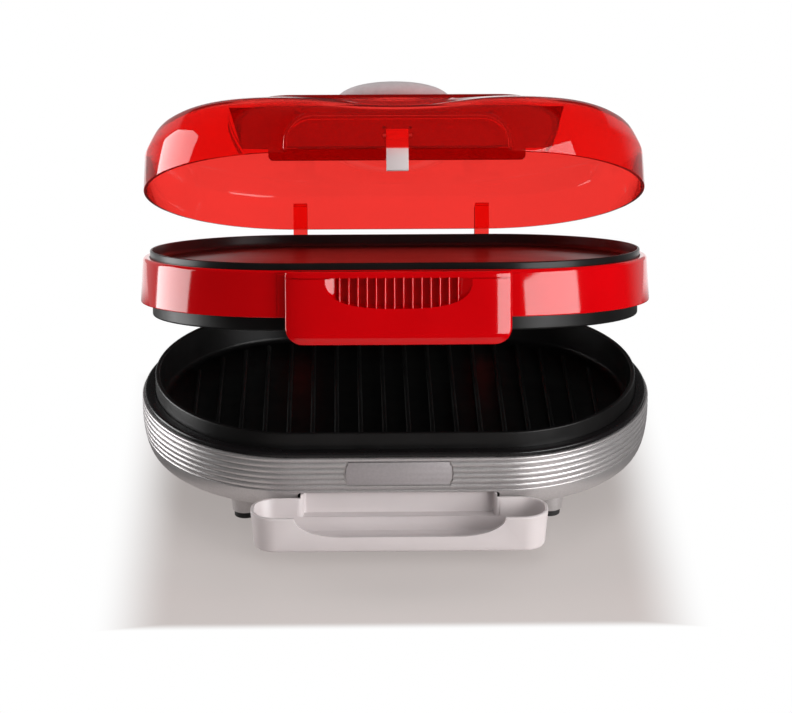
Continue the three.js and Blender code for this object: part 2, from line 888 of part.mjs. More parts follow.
// The shield's upturned rim carries the pan
function upperHeatShield() {
  const low = upperHeaterHeight + heaterRadius + gap;
  const standTop = panFloor - panSheet - gap;
  return sweepOval([
    [shieldInset, low],
    [shieldInset - shieldSheet * 2, upperShieldFlange],
    [panStandInset, upperShieldFlange],
    [panStandInset, standTop],
    [panStandInset + shieldSheet, standTop],
    [panStandInset + shieldSheet, upperShieldFlangeTop()],
    [shieldInset - shieldSheet * 3, upperShieldFlangeTop()],
    [shieldInset - shieldSheet, low + shieldSheet],
  ]);
}

function upperThermalFuse() {
  return barX(fuseRadius, fusePlace, pressTop + gap + fuseRadius, -fuseLength / 2, fuseLength / 2);
}

function latchSlotBack() {
  return latchPlaneBack() + latchBarb + gap;
}

function frontHandle() {
  const back = -halfDepth - gap;
  const front = back - handleReach;
  const middle = (ringHeight - handleDrop) / 2;
  const halfHeight = (ringHeight + handleDrop) / 2;
  const outline = roundedShape(handleHalfWidth, halfHeight, handleCorner);
  const square = block([-handleHalfWidth, front, ringHeight - handleCorner * 2],
    [handleHalfWidth, back, ringHeight]);
  const body = joined(slabY(outline, front, back).translate(0, 0, middle), square);
  const bevel = slabX(polygon([
    [front - overrun, -handleDrop - overrun], [front + handleBevelReach, -handleDrop - overrun],
    [front + handleBevelReach, -handleDrop], [front, handleBevel - handleDrop],
    [front - overrun, handleBevel - handleDrop],
  ]), -handleHalfWidth - overrun, handleHalfWidth + overrun);
  const pocket = block(
    [handleWall - handleHalfWidth, front + handleWall + scoopDepth, handlePocketBottom],
    [handleHalfWidth - handleWall, back + overrun, ringHeight - handleWall],
  );
  const bosses = [-1, 1].map((side) => barY(handleBoss, side * handleBossX, handleBossZ,
    front + handleWall, back));
  const screwHoles = [-1, 1].map((side) => barY(screwHole, side * handleBossX, handleBossZ,
    front + handleWall * 2, back + overrun));
  const latchSlot = block(
    [-latchSlotHalfWidth, latchSlotFront(), ringHeight - handleWall - overrun],
    [latchSlotHalfWidth, back + overrun, ringHeight + overrun],
  );
  const shell = cut(body, bevel, pocket);
  return cut(joined(shell, ...bosses), ...screwHoles, latchSlot, scoop(front), ...slots(front));
}

function latchSlotFront() {
  return -halfDepth - gap - handleReach + handleWall;
}

function scoopRadius() {
  return (scoopHalfWidth * scoopHalfWidth + scoopHeight * scoopHeight) / (2 * scoopHeight);
}

function scoopCentre() {
  return scoopTop - scoopHeight + scoopRadius();
}

// The half-moon scoop in the face of the handle
function scoop(front) {
  const moon = new THREE.Shape();
  const spread = Math.asin(scoopHalfWidth / scoopRadius());
  const down = -Math.PI / 2;
  moon.absarc(0, scoopCentre(), scoopRadius(), down - spread, down + spread);
  return slabY(moon, front - overrun, front + scoopDepth);
}

// The slots through the scoop, each as long as the half-moon leaves room for
function slots(front) {
  const cutters = [];
  const back = front + handleWall + scoopDepth + gap;
  const top = scoopTop - scoopSlotWidth / 2;
  for (let i = 0; i < scoopSlots; i += 1) {
    const x = (i - (scoopSlots - 1) / 2) * scoopSlotPitch;
    const reach = (Math.abs(x) + scoopSlotWidth) / scoopRadius();
    const arc = scoopCentre() - scoopRadius() * Math.cos(Math.asin(reach));
    const bottom = arc + scoopSlotWidth / 2;
    if (bottom < scoopTop - scoopSlotWidth) {
      cutters.push(block([x - scoopSlotWidth / 2, front - overrun, bottom],
        [x + scoopSlotWidth / 2, back, top]));
    }
  }
  return cutters;
}

function handleScrew(side) {
  const slope = ringFlare * handleBossZ / ringHeight;
  const head = ringInset + ringWall + slope + gap * 2 - halfDepth;
  return screwGeometry(handleScrewLength()).rotateX(Math.PI)
    .translate(side * handleBossX, head, handleBossZ);
}

function handleScrewLength() {
  return ringWall + handleReach - handleWall * 2 - gap * 2;
}

function middleArm(side) {
  const wall = halfDepth - ringInset + gap;
  const foot = [[wall, ringHeight - ringChamfer * 2], [wall, ringFlangeThickness]];
  const z = axleZ - ringClosedHeight;
  const outline = armOutline(foot, axleY, z, -3 * Math.PI / 4, Math.PI / 4);
  return boredArm(outline, z, side, middleArmOuter - middleArmThickness, middleArmOuter);
}

// The lid: heights are from its rim
function lidProfile(wall) {
  const start = lidInset + lidDraft + wall;
  const shoulder = lidShoulder - wall;
  const shoulderEnd = Math.acos(1 - (deckInset - start) / shoulder);
  const points = [];
  for (let i = 0; i <= lidSteps; i += 1) {
    const angle = shoulderEnd * (i / lidSteps);
    points.push([
      start + shoulder * (1 - Math.cos(angle)),
      lidSide + (lidRise - wall) * Math.sin(angle),
    ]);
  }
  const deckTop = points[lidSteps][1] + deckStep;
  const middle = halfDepth - deckInset - deckEdge;
  for (let i = 0; i <= crownSteps; i += 1) {
    const share = crownReachShare * (i / crownSteps);
    points.push([
      deckInset + deckEdge + middle * share,
      deckTop + crownRise * (1 - (1 - share) * (1 - share)),
    ]);
  }
  return points;
}

function lidTop() {
  const points = lidProfile(0);
  return points[points.length - 1][1];
}

// The dome sinks a little between the two buns, at the front and at the back
function valleyLift(x, y) {
  const across = x / valleyHalfWidth;
  const along = (Math.abs(y) - valleyFromMiddle) / valleyReach;
  const fromDeck = (Math.abs(y) - halfDepth + deckInset) / valleyReach;
  const fromSide = (halfDepth - lidInset * 2 - Math.abs(y)) / valleyReach;
  const fade = Math.min(1, Math.max(0, fromSide * 2)) * Math.min(1, Math.max(0, fromDeck * 2));
  return -valleyDepth * fade * Math.exp(-across * across - along * along);
}

function lidShell() {
  const outside = lidProfile(0);
  const inside = lidProfile(lidWall);
  const dome = sweepOval([[lidInset, 0], ...outside], false, valleyLift, valleySteps);
  const hollow = sweepOval([[lidInset + lidWall, -overrun], ...inside], false, valleyLift,
    valleySteps);
  const bulge = bulgeBody(0);
  const bulgeHollow = bulgeBody(lidWall);
  const ears = [-1, 1].map((side) => {
    const x = side * (latchWidth / 2 + gap + latchEar / 2);
    return block([x - latchEar / 2, bulgeFront() + lidWall / 2, latchPinHeight - latchEarRise],
      [x + latchEar / 2, latchPlaneBack() + latchEar, latchPinHeight + latchEarRise]);
  });
  const pinHole = barX(latchPinRadius + gap, latchY(), latchPinHeight,
    -latchPinHalf() - gap, latchPinHalf() + gap);
  const shell = cut(cut(joined(dome, bulge), hollow), bulgeHollow);
  return cut(joined(shell, ...ears), pinHole);
}

function bulgeFront() {
  return lidInset - halfDepth - bulgeReach;
}

// The grip bulge, with its own wall taken off when it is hollowed
function bulgeBody(wall) {
  const shape = new THREE.Shape();
  const half = bulgeHalfWidth - wall;
  const top = bulgeHeight - wall;
  const corner = bulgeCorner - wall;
  const low = wall > 0 ? -overrun : 0;
  shape.moveTo(-half, low);
  shape.lineTo(half, low);
  shape.absarc(half - corner, top - corner, corner, 0, Math.PI / 2);
  shape.absarc(corner - half, top - corner, corner, Math.PI / 2, Math.PI);
  const back = lidInset + lidWall * 2 - halfDepth;
  return slabY(shape, bulgeFront() + wall, wall > 0 ? back + wall : back);
}

function latchY() {
  return bulgeFront() + lidWall + latchBack + latchBossRadius;
}

function latchPlaneBack() {
  return latchY() + latchThickness / 2;
}

function latchPinHalf() {
  return latchWidth / 2 + gap + latchEar;
}

function latchPin() {
  return barX(latchPinRadius, latchY(), latchPinHeight, -latchPinHalf(), latchPinHalf());
}

function lidLatch() {
  const front = latchY() - latchThickness / 2;
  const back = latchPlaneBack();
  const outline = polygon([
    [front, -latchDrop], [back, -latchDrop], [back + latchBarb, latchBarbHeight / 2 - latchDrop],
    [back, latchBarbHeight - latchDrop], [back, latchTop], [front, latchTop],
  ]);
  const tongue = slabX(outline, -latchWidth / 2, latchWidth / 2);
  const boss = barX(latchBossRadius, latchY(), latchPinHeight, -latchWidth / 2, latchWidth / 2);
  const bore = barX(latchPinRadius + gap, latchY(), latchPinHeight, -latchWidth, latchWidth);
  return cut(joined(tongue, boss), bore);
}

function lidCap() {
  const profile = [[0, 0], [1, 0], [1, capEdge]];
  for (let i = 1; i < capSteps; i += 1) {
    const angle = Math.PI / 2 * (i / capSteps);
    profile.push([Math.cos(angle), capEdge + (capRise - capEdge) * Math.sin(angle)]);
  }
  profile.push([0, capRise]);
  return turned(profile, roundSteps * 2).rotateX(Math.PI / 2)
    .scale(capHalfLength, capHalfWidth, 1).translate(0, 0, lidTop() + gap);
}

function lidArm(side) {
  const wall = halfDepth - lidInset + gap;
  const z = axleZ - ringClosedHeight - lidClosedHeight;
  const low = lidInset;
  const high = lidSide - lidInset;
  const elbow = wall + bossRadius * 2;
  const clear = halfDepth - ringInset + lidArmClearance;
  const foot = [[elbow, high], [wall, high], [wall, low], [clear, low - lidArmToe]];
  const outline = armOutline(foot, axleY, z, -Math.PI, Math.PI / 6);
  return boredArm(outline, z, side, lidArmOuter - lidArmThickness, lidArmOuter);
}

// Surfaces
function paint(color, roughness, metalness) {
  return () => new THREE.MeshStandardMaterial({ color, roughness, metalness });
}

const silver = paint(0xb4b0b0, 0.35, 0.6);
const black = paint(0x1c1a1b, 0.5, 0);
const nonStick = paint(0x191718, 0.4, 0.2);
const steel = paint(0x9a9a9c, 0.3, 1);
const sheetMetal = paint(0xa8a8a6, 0.4, 0.9);
const ceramic = paint(0xd8d2c4, 0.7, 0);
const rubber = paint(0x2a2a2a, 0.8, 0);
const pale = paint(0xd4cccc, 0.4, 0);
const red = paint(0xc00010, 0.15, 0);

function clearRed() {
  const material = new THREE.MeshStandardMaterial({ color: 0xe00010, roughness: 0.1 });
  material.transparent = true;
  material.opacity = 0.7;
  return material;
}

function add(parent, name, geometry, material) {
  const mesh = new THREE.Mesh(geometry, material());
  mesh.name = name;
  parent.add(mesh);
}

// A group that turns about the axle, with its contents at the height where it closes
function hingedGroup(parent, angle, closedHeight) {
  const group = new THREE.Group();
  group.position.set(0, axleY, axleZ);
  group.rotation.x = -angle;
  const contents = new THREE.Group();
  contents.position.set(0, -axleY, closedHeight - axleZ);
  group.add(contents);
  parent.add(group);
  return contents;
}

function addBase(parent) {
  add(parent, 'base_housing', baseHousing(), silver);
  add(parent, 'base_bezel', baseBezel(), black);
  add(parent, 'lower_grill_plate', lowerGrillPlate(), nonStick);
  add(parent, 'lower_heater', heaterGeometry(lowerHeaterHeight), steel);
  add(parent, 'lower_heat_shield', lowerHeatShield(), sheetMetal);
  add(parent, 'lower_thermostat', lowerThermostat(), steel);
  add(parent, 'terminal_block', terminalBlock(), ceramic);
  add(parent, 'cord_gland', cordGland(), rubber);
  add(parent, 'bottom_cover', bottomCover(), black);
  add(parent, 'front_nameplate', frontNameplate(), silver);
  footPlaces().forEach(([place, x, y]) => {
    add(parent, `foot_${place}`, footGeometry(x, y), silver);
    add(parent, `foot_pad_${place}`, padGeometry(x, y), rubber);
  });
  postPlaces(postInset).forEach(([x, y], i) => {
    add(parent, `cover_screw_${i + 1}`, coverScrew(x, y), steel);
  });
  [['left', -1], ['right', 1]].forEach(([place, side]) => {
    add(parent, `tray_rail_${place}`, trayRail(side), black);
    add(parent, `hinge_bracket_${place}`, hingeBracket(side), black);
    add(parent, `hinge_screw_${place}`, hingeScrew(side), steel);
  });
  add(parent, 'hinge_axle', hingeAxle(), steel);
}

function addMiddle(parent) {
  add(parent, 'middle_housing', middleHousing(), red);
  add(parent, 'front_handle', frontHandle(), red);
  add(parent, 'upper_grill_plate', upperGrillPlate(), nonStick);
  add(parent, 'bun_pan', bunPan(), nonStick);
  add(parent, 'upper_heater', heaterGeometry(upperHeaterHeight), steel);
  add(parent, 'upper_heat_shield', upperHeatShield(), sheetMetal);
  add(parent, 'upper_thermal_fuse', upperThermalFuse(), ceramic);
  [['left', -1], ['right', 1]].forEach(([place, side]) => {
    add(parent, `middle_hinge_arm_${place}`, middleArm(side), black);
    add(parent, `handle_screw_${place}`, handleScrew(side), steel);
  });
}

function addLid(parent) {
  add(parent, 'lid_shell', lidShell(), clearRed);
  add(parent, 'lid_cap', lidCap(), silver);
  add(parent, 'latch_pin', latchPin(), steel);
  add(parent, 'lid_latch', lidLatch(), pale);
  [['left', -1], ['right', 1]].forEach(([place, side]) => {
    add(parent, `lid_hinge_arm_${place}`, lidArm(side), clearRed);
  });
}

function hamburgerMaker() {
  const whole = new THREE.Group();
  addBase(whole);
  add(whole, 'drip_tray', dripTray(), pale);
  addMiddle(hingedGroup(whole, ringOpenAngle, ringClosedHeight));
  addLid(hingedGroup(whole, ringOpenAngle + lidOpenAngle, ringClosedHeight + lidClosedHeight));
  whole.updateMatrixWorld(true);
  const box = new THREE.Box3().setFromObject(whole, true);
  whole.position.set(0, -(box.min.y + box.max.y) / 2, 0);
  return whole;
}

export default hamburgerMaker();
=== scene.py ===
import json
from math import acos, asin, atan2, cos, exp, hypot, pi, radians, sin, sqrt, tan, tau

import bmesh
import bpy
from mathutils import Matrix, Vector

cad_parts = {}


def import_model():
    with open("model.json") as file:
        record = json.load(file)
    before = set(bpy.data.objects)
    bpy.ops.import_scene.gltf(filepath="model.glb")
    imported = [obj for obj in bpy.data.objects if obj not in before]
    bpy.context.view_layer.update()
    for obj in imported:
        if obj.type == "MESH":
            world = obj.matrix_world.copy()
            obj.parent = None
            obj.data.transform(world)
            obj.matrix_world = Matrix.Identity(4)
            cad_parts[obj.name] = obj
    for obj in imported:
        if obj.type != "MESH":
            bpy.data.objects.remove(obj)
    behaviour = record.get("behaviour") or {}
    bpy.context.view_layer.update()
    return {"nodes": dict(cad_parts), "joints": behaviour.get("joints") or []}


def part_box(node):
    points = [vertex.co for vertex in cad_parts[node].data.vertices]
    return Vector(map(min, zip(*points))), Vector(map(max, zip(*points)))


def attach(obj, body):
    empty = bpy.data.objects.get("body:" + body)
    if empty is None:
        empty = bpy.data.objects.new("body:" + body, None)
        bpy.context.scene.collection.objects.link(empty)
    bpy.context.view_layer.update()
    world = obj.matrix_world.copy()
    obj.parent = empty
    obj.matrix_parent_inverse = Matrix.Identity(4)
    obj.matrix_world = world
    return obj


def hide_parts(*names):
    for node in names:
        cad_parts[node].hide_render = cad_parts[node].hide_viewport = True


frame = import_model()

# Sizes are in millimetres, and a mesh is made in metres
MM = 0.001
HOUSING_LOW, HOUSING_HIGH = (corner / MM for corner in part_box("base_housing"))
MIDDLE_Y = (HOUSING_LOW.y + HOUSING_HIGH.y) / 2
HINGE = Vector(next(j["pos_m"] for j in frame["joints"] if j["name"] == "middle_hinge")) / MM
AXLE_Y = HINGE.y - MIDDLE_Y
RING_ANGLE = 0.236
LID_ANGLE = 0.499
RING_HEIGHT_CLOSED = 84
LID_HEIGHT_CLOSED = 114.2

# The oval that the base, the ring and the lid share
HALF_LENGTH = (HOUSING_HIGH.x - HOUSING_LOW.x) / 2
HALF_DEPTH = (HOUSING_HIGH.y - HOUSING_LOW.y) / 2
HALF_STRAIGHT = 66.7
END_REACH = HALF_LENGTH - HALF_STRAIGHT
END_STEPS = 56
SIDE_STEPS = 16
ARC_STEPS = 6

# The gap between pieces, how far a cutting tool reaches past them, and smaller distances
GAP = 0.3
FAR = 8
OVERLAP = 1
HAIR = 0.01
MERGE_WITHIN = 0.0005

# How round an edge is, where pieces share that
FINE_EDGE = 0.3
SMALL_EDGE = 0.5
SOFT_EDGE = 0.8

# The silver casing of the base
CASE_TOP = 60
CASE_BOTTOM = 25.4
CASE_WALL = 2.4
CASE_EDGE = 0.95
CASE_EDGE_DROP = 1
BOWL_HEIGHT = 26.6
BOWL_REACH = 7.5
BOWL_TOP = CASE_BOTTOM + BOWL_HEIGHT
BOWL_STEPS = 18
GROOVES = 6
GROOVE_PITCH = 3.82
GROOVE_DEPTH = 1.1
FIRST_GROOVE = 2.9
LAST_GROOVE_SHARE = 0.6
RIDGE_STEPS = 10
LIP_INSET = 13
LIP_WALL = 2
SLOT_HALF_WIDTH = 64.7
SLOT_TOP = 36.2
SLOT_CORNER = 2.2
CORD_Z = 44
CORD_HOLE = 6.3

# The blank badge panel
BADGE_HALF = 34.5
BADGE_THICKNESS = 1.3
BADGE_POCKET = 2
BADGE_CLEARANCE = 1
BADGE_RIDGES = 4
BADGE_STEPS = 8
BADGE_BOW = 2.2
BADGE_SCALLOP = 0.55

# The black ring on the casing, and the grill plate in it
BEZEL_INSET = 1.5
BEZEL_TOP = 63.4
BEZEL_SKIRT = 8.6
BEZEL_LEDGE = 14
BEZEL_LEDGE_TOP = 46.4
BEZEL_SHEET = 2
BEZEL_EDGE = 1.5
PLATE_INSET = 8.9
PLATE_RIM_TOP = 74
PLATE_RIM_WIDTH = 3
PLATE_FLOOR = 51
PLATE_BOTTOM = 46.7
PLATE_SLOPE = 1.5
PLATE_FILLET = 4
PLATE_FOOT_EDGE = 2.4
PLATE_RIM_EDGE = 1
RIM_INNER_EDGE = 0.9
FLAT_INSET = 60
RIB_PITCH = 15.8
RIB_WIDTH = 3
RIB_HEIGHT = 3
RIB_MARGIN = 22
RIB_SINK = 0.8
RIB_CREST = 1.2
RIB_ARC_STEPS = 4
RIB_END_STEPS = 5
RIB_END_STRETCH = 1.2
RIB_END_LEAST = 0.02
DRAIN_BORE = 4
DRAIN_WALL = 1.4
DRAIN_FROM_FRONT = 36
DRAIN_REACH = 9.8
DRAIN_FLARE = 1.6
DRAIN_FLARE_DEPTH = 1
DRAIN_FLARE_TOP = 0.4

# The drip tray
TRAY_HALF = 62.9
TRAY_WALL = 2
TRAY_TOP = 35.5
TRAY_BOTTOM = 16.3
TRAY_BACK = 64
CUP_HALF = 94.5
CUP_DEPTH = 36
CUP_BOTTOM = 9.3
CUP_HEIGHT = 24.1
CUP_CORNER = 16
CUP_WALL = 2.4
CUP_DRAFT = 1.6
CUP_CLEARANCE = 0.9
CUP_ARC_STEPS = 14
CUP_LIP = 0.5
CUP_LIP_DROP = 0.6
CUP_LIP_RISE = 0.1
CUP_EDGE = 0.45
LEDGE_TOP = 20.5
PANEL_BACK = 9
PANEL_CORNER = 4
PANEL_FOLD = 2
MOUTH_ARC_STEPS = 10
DIP_HALF = 67
DIP_DEPTH = 13.2
DIP_SLOPE = 30
DIP_STEPS = 14

# How far in the cup's skin lies at heights over its underside, under its rim and over its floor
CUP_FOOT = ((2.2, 0), (0.9, 0.5), (0.3, 1.4), (0, 2.6))
CUP_RIM = ((0.1, 2.4), (0, 2), (0, 0.5), (0.5, 0))
CUP_FLOOR = ((2.4, 0), (0.8, 0.7), (0, 2.6))

# The feet
FOOT_TOP_RADIUS = 10.6
FOOT_BOTTOM_RADIUS = 8
FOOT_STUD_RADIUS = 4
PAD_RADIUS = 7
PAD_TOP_EDGE = 0.4

# The red ring, from its own underside
RING_HEIGHT = 29.7
RING_INSET = 0.2
RING_FLARE = 1.8
RING_WALL = 2.6
RING_CHAMFER = 1.6
RING_TOP_EDGE = 2.2
RING_FOOT_EDGE = 0.7
RING_FLANGE = 7.5
RING_FLANGE_SHEET = 2.2
BOSS_HALF = 76.4
BOSS_RISE = 0.5
BOSS_LOW = 0.4
BOSS_TOP_DROP = 2
BOSS_LEAN_SHARE = 0.9
LATCH_SLOT_HALF = 8.5
LATCH_SLOT_BACK = -128.25

# The bun pan and the upper grill plate
PAN_INSET = 6.6
PAN_RIM_TOP = 34.1
PAN_RIM_WIDTH = 1.6
PAN_FLOOR = 26
PAN_SHEET = 1.6
PAN_RIM_EDGE = 0.75
PAN_FILLET = 3
PRESS_INSET = 8
PRESS_DROP = 9.2
PRESS_RIM_WIDTH = 3
PRESS_FLOOR = -4
PRESS_TOP = 0.3
PRESS_FLANGE_INSET = 4
PRESS_FLANGE_LOW = 2.5
PRESS_FLANGE_SHEET = 2
PRESS_FILLET = 2.4
PRESS_RIM_EDGE = 1.2
PRESS_STEP = 2.4

# The handle on the ring
HANDLE_HALF = 71.5
HANDLE_DROP = 16.6
HANDLE_REACH = 12
HANDLE_WALL = 2.5
HANDLE_CORNER = 11
HANDLE_TOP_CORNER = 1.5
HANDLE_COLUMNS = 96
HANDLE_ROWS = 22
HANDLE_BEVEL = 5.4
HANDLE_BEVEL_REACH = 3
HANDLE_LIP = 4.1
HANDLE_GROOVE = 0.9
HANDLE_GROOVE_DEPTH = 1.6
HANDLE_BOW = 1.2
HANDLE_END_DEPTH = 5
HANDLE_END_REACH = 19
HANDLE_EDGE = 1.6
HANDLE_EDGE_STEPS = 4
HANDLE_SLOT_REACH = 7
SCOOP_HALF = 46.5
SCOOP_HEIGHT = 19
SCOOP_TOP = 25.6
SCOOP_POWER = 2.8
SCOOP_DEPTH = 4.2
SCOOP_RAMP = 8.5
WELL_DEPTH = 2
SCOOP_WALL = 2.4
SCOOP_INSIDE_SHARE = 0.995
GROOVE_REACH_SHARE = 1.05
SCOOP_COLUMNS = 64
SCOOP_ROWS = 12
FINS = 14
FIN_PITCH = 5.73
FIN_WIDTH = 1.4
FIN_SET_BACK = 0.5
ROUND_SHARE = 0.98

# The clear lid, from its own rim
LID_INSET = 1.8
LID_WALL = 2.2
LID_SIDE = 21
LID_DRAFT = 0.6
LID_RISE = 29
LID_SHOULDER = 84
LID_STEPS = 20
DECK_INSET = 58
DECK_STEP = 2.3
DECK_EDGE = 1.5
CROWN_RISE = 7
CROWN_STEPS = 12
CROWN_REACH_SHARE = 0.85
VALLEY_DEPTH = 7
VALLEY_HALF_WIDTH = 40
VALLEY_FROM_MIDDLE = 100
VALLEY_REACH = 20
VALLEY_SIDE_STEPS = 36
FULL_HEIGHT = 5
FULL_RISE_WITHIN = 8
FULL_FALL_FROM = 10
FULL_FALL_WITHIN = 50
FULL_END_SHARE = 0.7
BULGE_HALF = 72.5
BULGE_REACH = 11
BULGE_HEIGHT = 23.4
BULGE_CORNER = 19
BULGE_EDGE = 2.6
BULGE_LEAST_EDGE = 0.6
BULGE_EDGE_STEPS = 6
BULGE_ARC_STEPS = 16
LID_EDGE_CUT = 0.15
LID_WALL_LOW = 0.4
APRON_HALF = 103
APRON_INSET = 11.4
APRON_DROP = 3.5
APRON_FOOT_HALF = 82
APRON_FOOT_TOP = 4.6
APRON_SHEET = 1.6
APRON_LEAN = 4
APRON_TOP = 31
APRON_FOOT_ROUND = 3
APRON_ROUND = 2

# The cap on the lid, the latch and its pin
CAP_HALF_LENGTH = 40
CAP_HALF_WIDTH = 26
CAP_RISE = 17
CAP_FLAT_SHARE = 0.8
CAP_STEPS = 16
CAP_TURN_STEPS = 72
LATCH_WIDTH = 14
LATCH_THICKNESS = 3
LATCH_DROP = 13.4
LATCH_TOP = 13
LATCH_PIN_Z = 9
LATCH_PIN_RADIUS = 1.2
LATCH_BOSS_RADIUS = 3
LATCH_BACK = 1.6
LATCH_EAR = 2
LATCH_EAR_RISE = 5
LATCH_BARB = 1.4
LATCH_BARB_HEIGHT = 3
LATCH_CHAMFER = 0.8
LATCH_EDGE = 0.4
LATCH_RIBS = 3
LATCH_RIB_DROP = 2.2
LATCH_RIB_PITCH = 2.6
LATCH_RIB_HEIGHT = 1.1
LATCH_RIB_RISE = 0.5
LATCH_RIB_SINK = 0.4

# The rear hinge
AXLE_RADIUS = 3
AXLE_HEAD = 5
AXLE_HEAD_THICKNESS = 2
BOSS_WALL = 5.2
BOSS_RADIUS = AXLE_RADIUS + GAP + BOSS_WALL
BRACKET_INNER = 70
BRACKET_THICKNESS = 10
BRACKET_FOOT = 22
BRACKET_FOOT_TOP = 58
LID_ARM_OUTER = 69.7
LID_ARM_THICKNESS = 10
LID_ARM_CLEARANCE = 3.6
LID_ARM_TOE = 1.2
MIDDLE_ARM_OUTER = 59.4
MIDDLE_ARM_THICKNESS = 11
ARM_STEPS = 24
ARM_EDGE = 0.6

# The values between which noise mostly stays, and colours of light
NOISE_SPAN = (0.3, 0.7)
GRAIN_DETAIL = 2
FILM_COLOR = (0.9, 0.1, 0.1, 1)
WHITE = (1, 1, 1, 1)

# Where the bulge's front and the latch's pin lie
BULGE_FRONT = LID_INSET - HALF_DEPTH - BULGE_REACH
LATCH_Y = BULGE_FRONT + LID_WALL + LATCH_BACK + LATCH_BOSS_RADIUS


# Where the groups of pieces stand, in metres
def turned_place(angle, closed_height):
    lifted = Matrix.Translation(Vector((0, -AXLE_Y, closed_height - HINGE.z)) * MM)
    return Matrix.Translation(HINGE * MM) @ Matrix.Rotation(-angle, 4, "X") @ lifted


BASE = Matrix.Translation((0, MIDDLE_Y * MM, 0))
RING = turned_place(RING_ANGLE, RING_HEIGHT_CLOSED)
LID = turned_place(LID_ANGLE, LID_HEIGHT_CLOSED)


# Meshes
def held(value):
    """A value held between zero and one"""
    return min(1, max(0, value))


def smooth(value):
    share = held(value)
    return share * share * (3 - 2 * share)


def added(name, data):
    """A new object in the scene"""
    thing = bpy.data.objects.new(name, data)
    bpy.context.scene.collection.objects.link(thing)
    return thing


def lofted(name, rings, ends="capped"):
    """A skin over rings of points, with its ends capped, open, or looped into each other"""
    count = len(rings[0])
    last = (len(rings) - 1) * count
    faces = []
    for band in range(len(rings) if ends == "looped" else len(rings) - 1):
        low, high = band * count, (band + 1) % len(rings) * count
        for i in range(count):
            j = (i + 1) % count
            faces.append((low + i, low + j, high + j, high + i))
    if ends == "capped":
        faces += [tuple(range(count)), tuple(range(last, last + count))]
    mesh = bpy.data.meshes.new(name)
    mesh.from_pydata([Vector(point) * MM for ring in rings for point in ring], [], faces)
    shape = bmesh.new()
    shape.from_mesh(mesh)
    bmesh.ops.remove_doubles(shape, verts=shape.verts, dist=MERGE_WITHIN * MM)
    bmesh.ops.recalc_face_normals(shape, faces=shape.faces)
    shape.to_mesh(mesh)
    shape.free()
    return added(name, mesh)


def rounded(corners, steps=ARC_STEPS):
    """A closed outline from (x, y, radius) corners, with each corner rounded"""
    outline = []
    for i, (x, y, radius) in enumerate(corners):
        if not radius:
            outline.append((x, y))
            continue
        here = Vector((x, y))
        before = (Vector(corners[i - 1][:2]) - here).normalized()
        after = (Vector(corners[(i + 1) % len(corners)][:2]) - here).normalized()
        half = before.angle(after) / 2
        centre = here + (before + after).normalized() * radius / sin(half)
        start = here + before * radius / tan(half) - centre
        end = here + after * radius / tan(half) - centre
        turn = atan2(start.x * end.y - start.y * end.x, start.dot(end))
        for k in range(steps + 1):
            outline.append(tuple(centre + Matrix.Rotation(turn * k / steps, 2) @ start))
    return outline


def quarter(steps):
    """The angles of a quarter turn, in steps from zero"""
    return [pi / 2 * k / steps for k in range(steps + 1)]


def mirrored(side):
    """A whole outline, or its corners, from the half on the positive side"""
    return side + [(-x, *rest) for x, *rest in reversed(side)]


def oval_columns(side_steps):
    """Where each column of an oval sweep starts, and how its inset runs"""
    columns = []
    for side in (1, -1):
        for i in range(END_STEPS + 1):
            angle = pi * (i / END_STEPS - 1 / 2)
            columns.append((side * HALF_STRAIGHT, side * cos(angle), side * sin(angle)))
        for i in range(1, side_steps):
            columns.append((side * HALF_STRAIGHT * (1 - 2 * i / side_steps), 0, side))
    return columns


def swept(name, profile, ends="looped", lift=None, side_steps=SIDE_STEPS):
    """A profile of (inset, height) points, swept round the oval"""
    columns = oval_columns(side_steps)
    rings = []
    for inset, height in profile:
        ring = []
        for start, across, along in columns:
            x = start + across * (END_REACH - inset)
            y = along * (HALF_DEPTH - inset)
            ring.append((x, y, height + (lift(x, y) if lift else 0)))
        rings.append(ring)
    return lofted(name, rings, ends)


def dished(name, corners):
    """A flat oval with a rim, from its corners: the first two close its flat middle"""
    profile = rounded(corners)
    return swept(name, profile[1:] + profile[:1], "capped")


def placed(a, b, along, axis):
    """A point from its places on the two other axes, in their order, and along an axis"""
    point = [a, b]
    point.insert("XYZ".index(axis), along)
    return point


def extruded(name, outline, low, high, axis):
    """An outline of the two other axes, in their order, run along one axis"""
    return lofted(name, [[placed(a, b, t, axis) for a, b in outline] for t in (low, high)])


def block(name, half, across, heights, x=0):
    """A block that reaches half its width to each side of a place"""
    (front, back), (left, right) = across, (x - half, x + half)
    outline = [(left, front), (right, front), (right, back), (left, back)]
    return extruded(name, outline, *heights, "Z")


def turned(name, profile, axis, middle, steps=48):
    """A profile of (radius, place) points, turned about an axis through a point"""
    rings = []
    for radius, place in profile:
        ring = []
        for i in range(steps):
            angle = tau * i / steps
            point = placed(radius * cos(angle), radius * sin(angle), place, axis)
            ring.append([p + m for p, m in zip(point, middle)])
        rings.append(ring)
    return lofted(name, rings, "open")


def rod(name, radius, low, high, axis, middle, low_edge=0, high_edge=0):
    """A round bar along an axis, whose two edges can be rounded"""
    corners = [(0, low, 0), (radius, low, low_edge), (radius, high, high_edge), (0, high, 0)]
    return turned(name, rounded(corners), axis, middle)


def applied(piece):
    """Makes the modifiers of a piece part of its mesh"""
    depsgraph = bpy.context.evaluated_depsgraph_get()
    mesh = bpy.data.meshes.new_from_object(piece.evaluated_get(depsgraph))
    piece.modifiers.clear()
    piece.data = mesh


def combined(piece, operation, *tools):
    for tool in tools:
        step = piece.modifiers.new("join", "BOOLEAN")
        step.operation = operation
        step.solver = "EXACT"
        step.object = tool
    applied(piece)
    for tool in tools:
        bpy.data.objects.remove(tool)


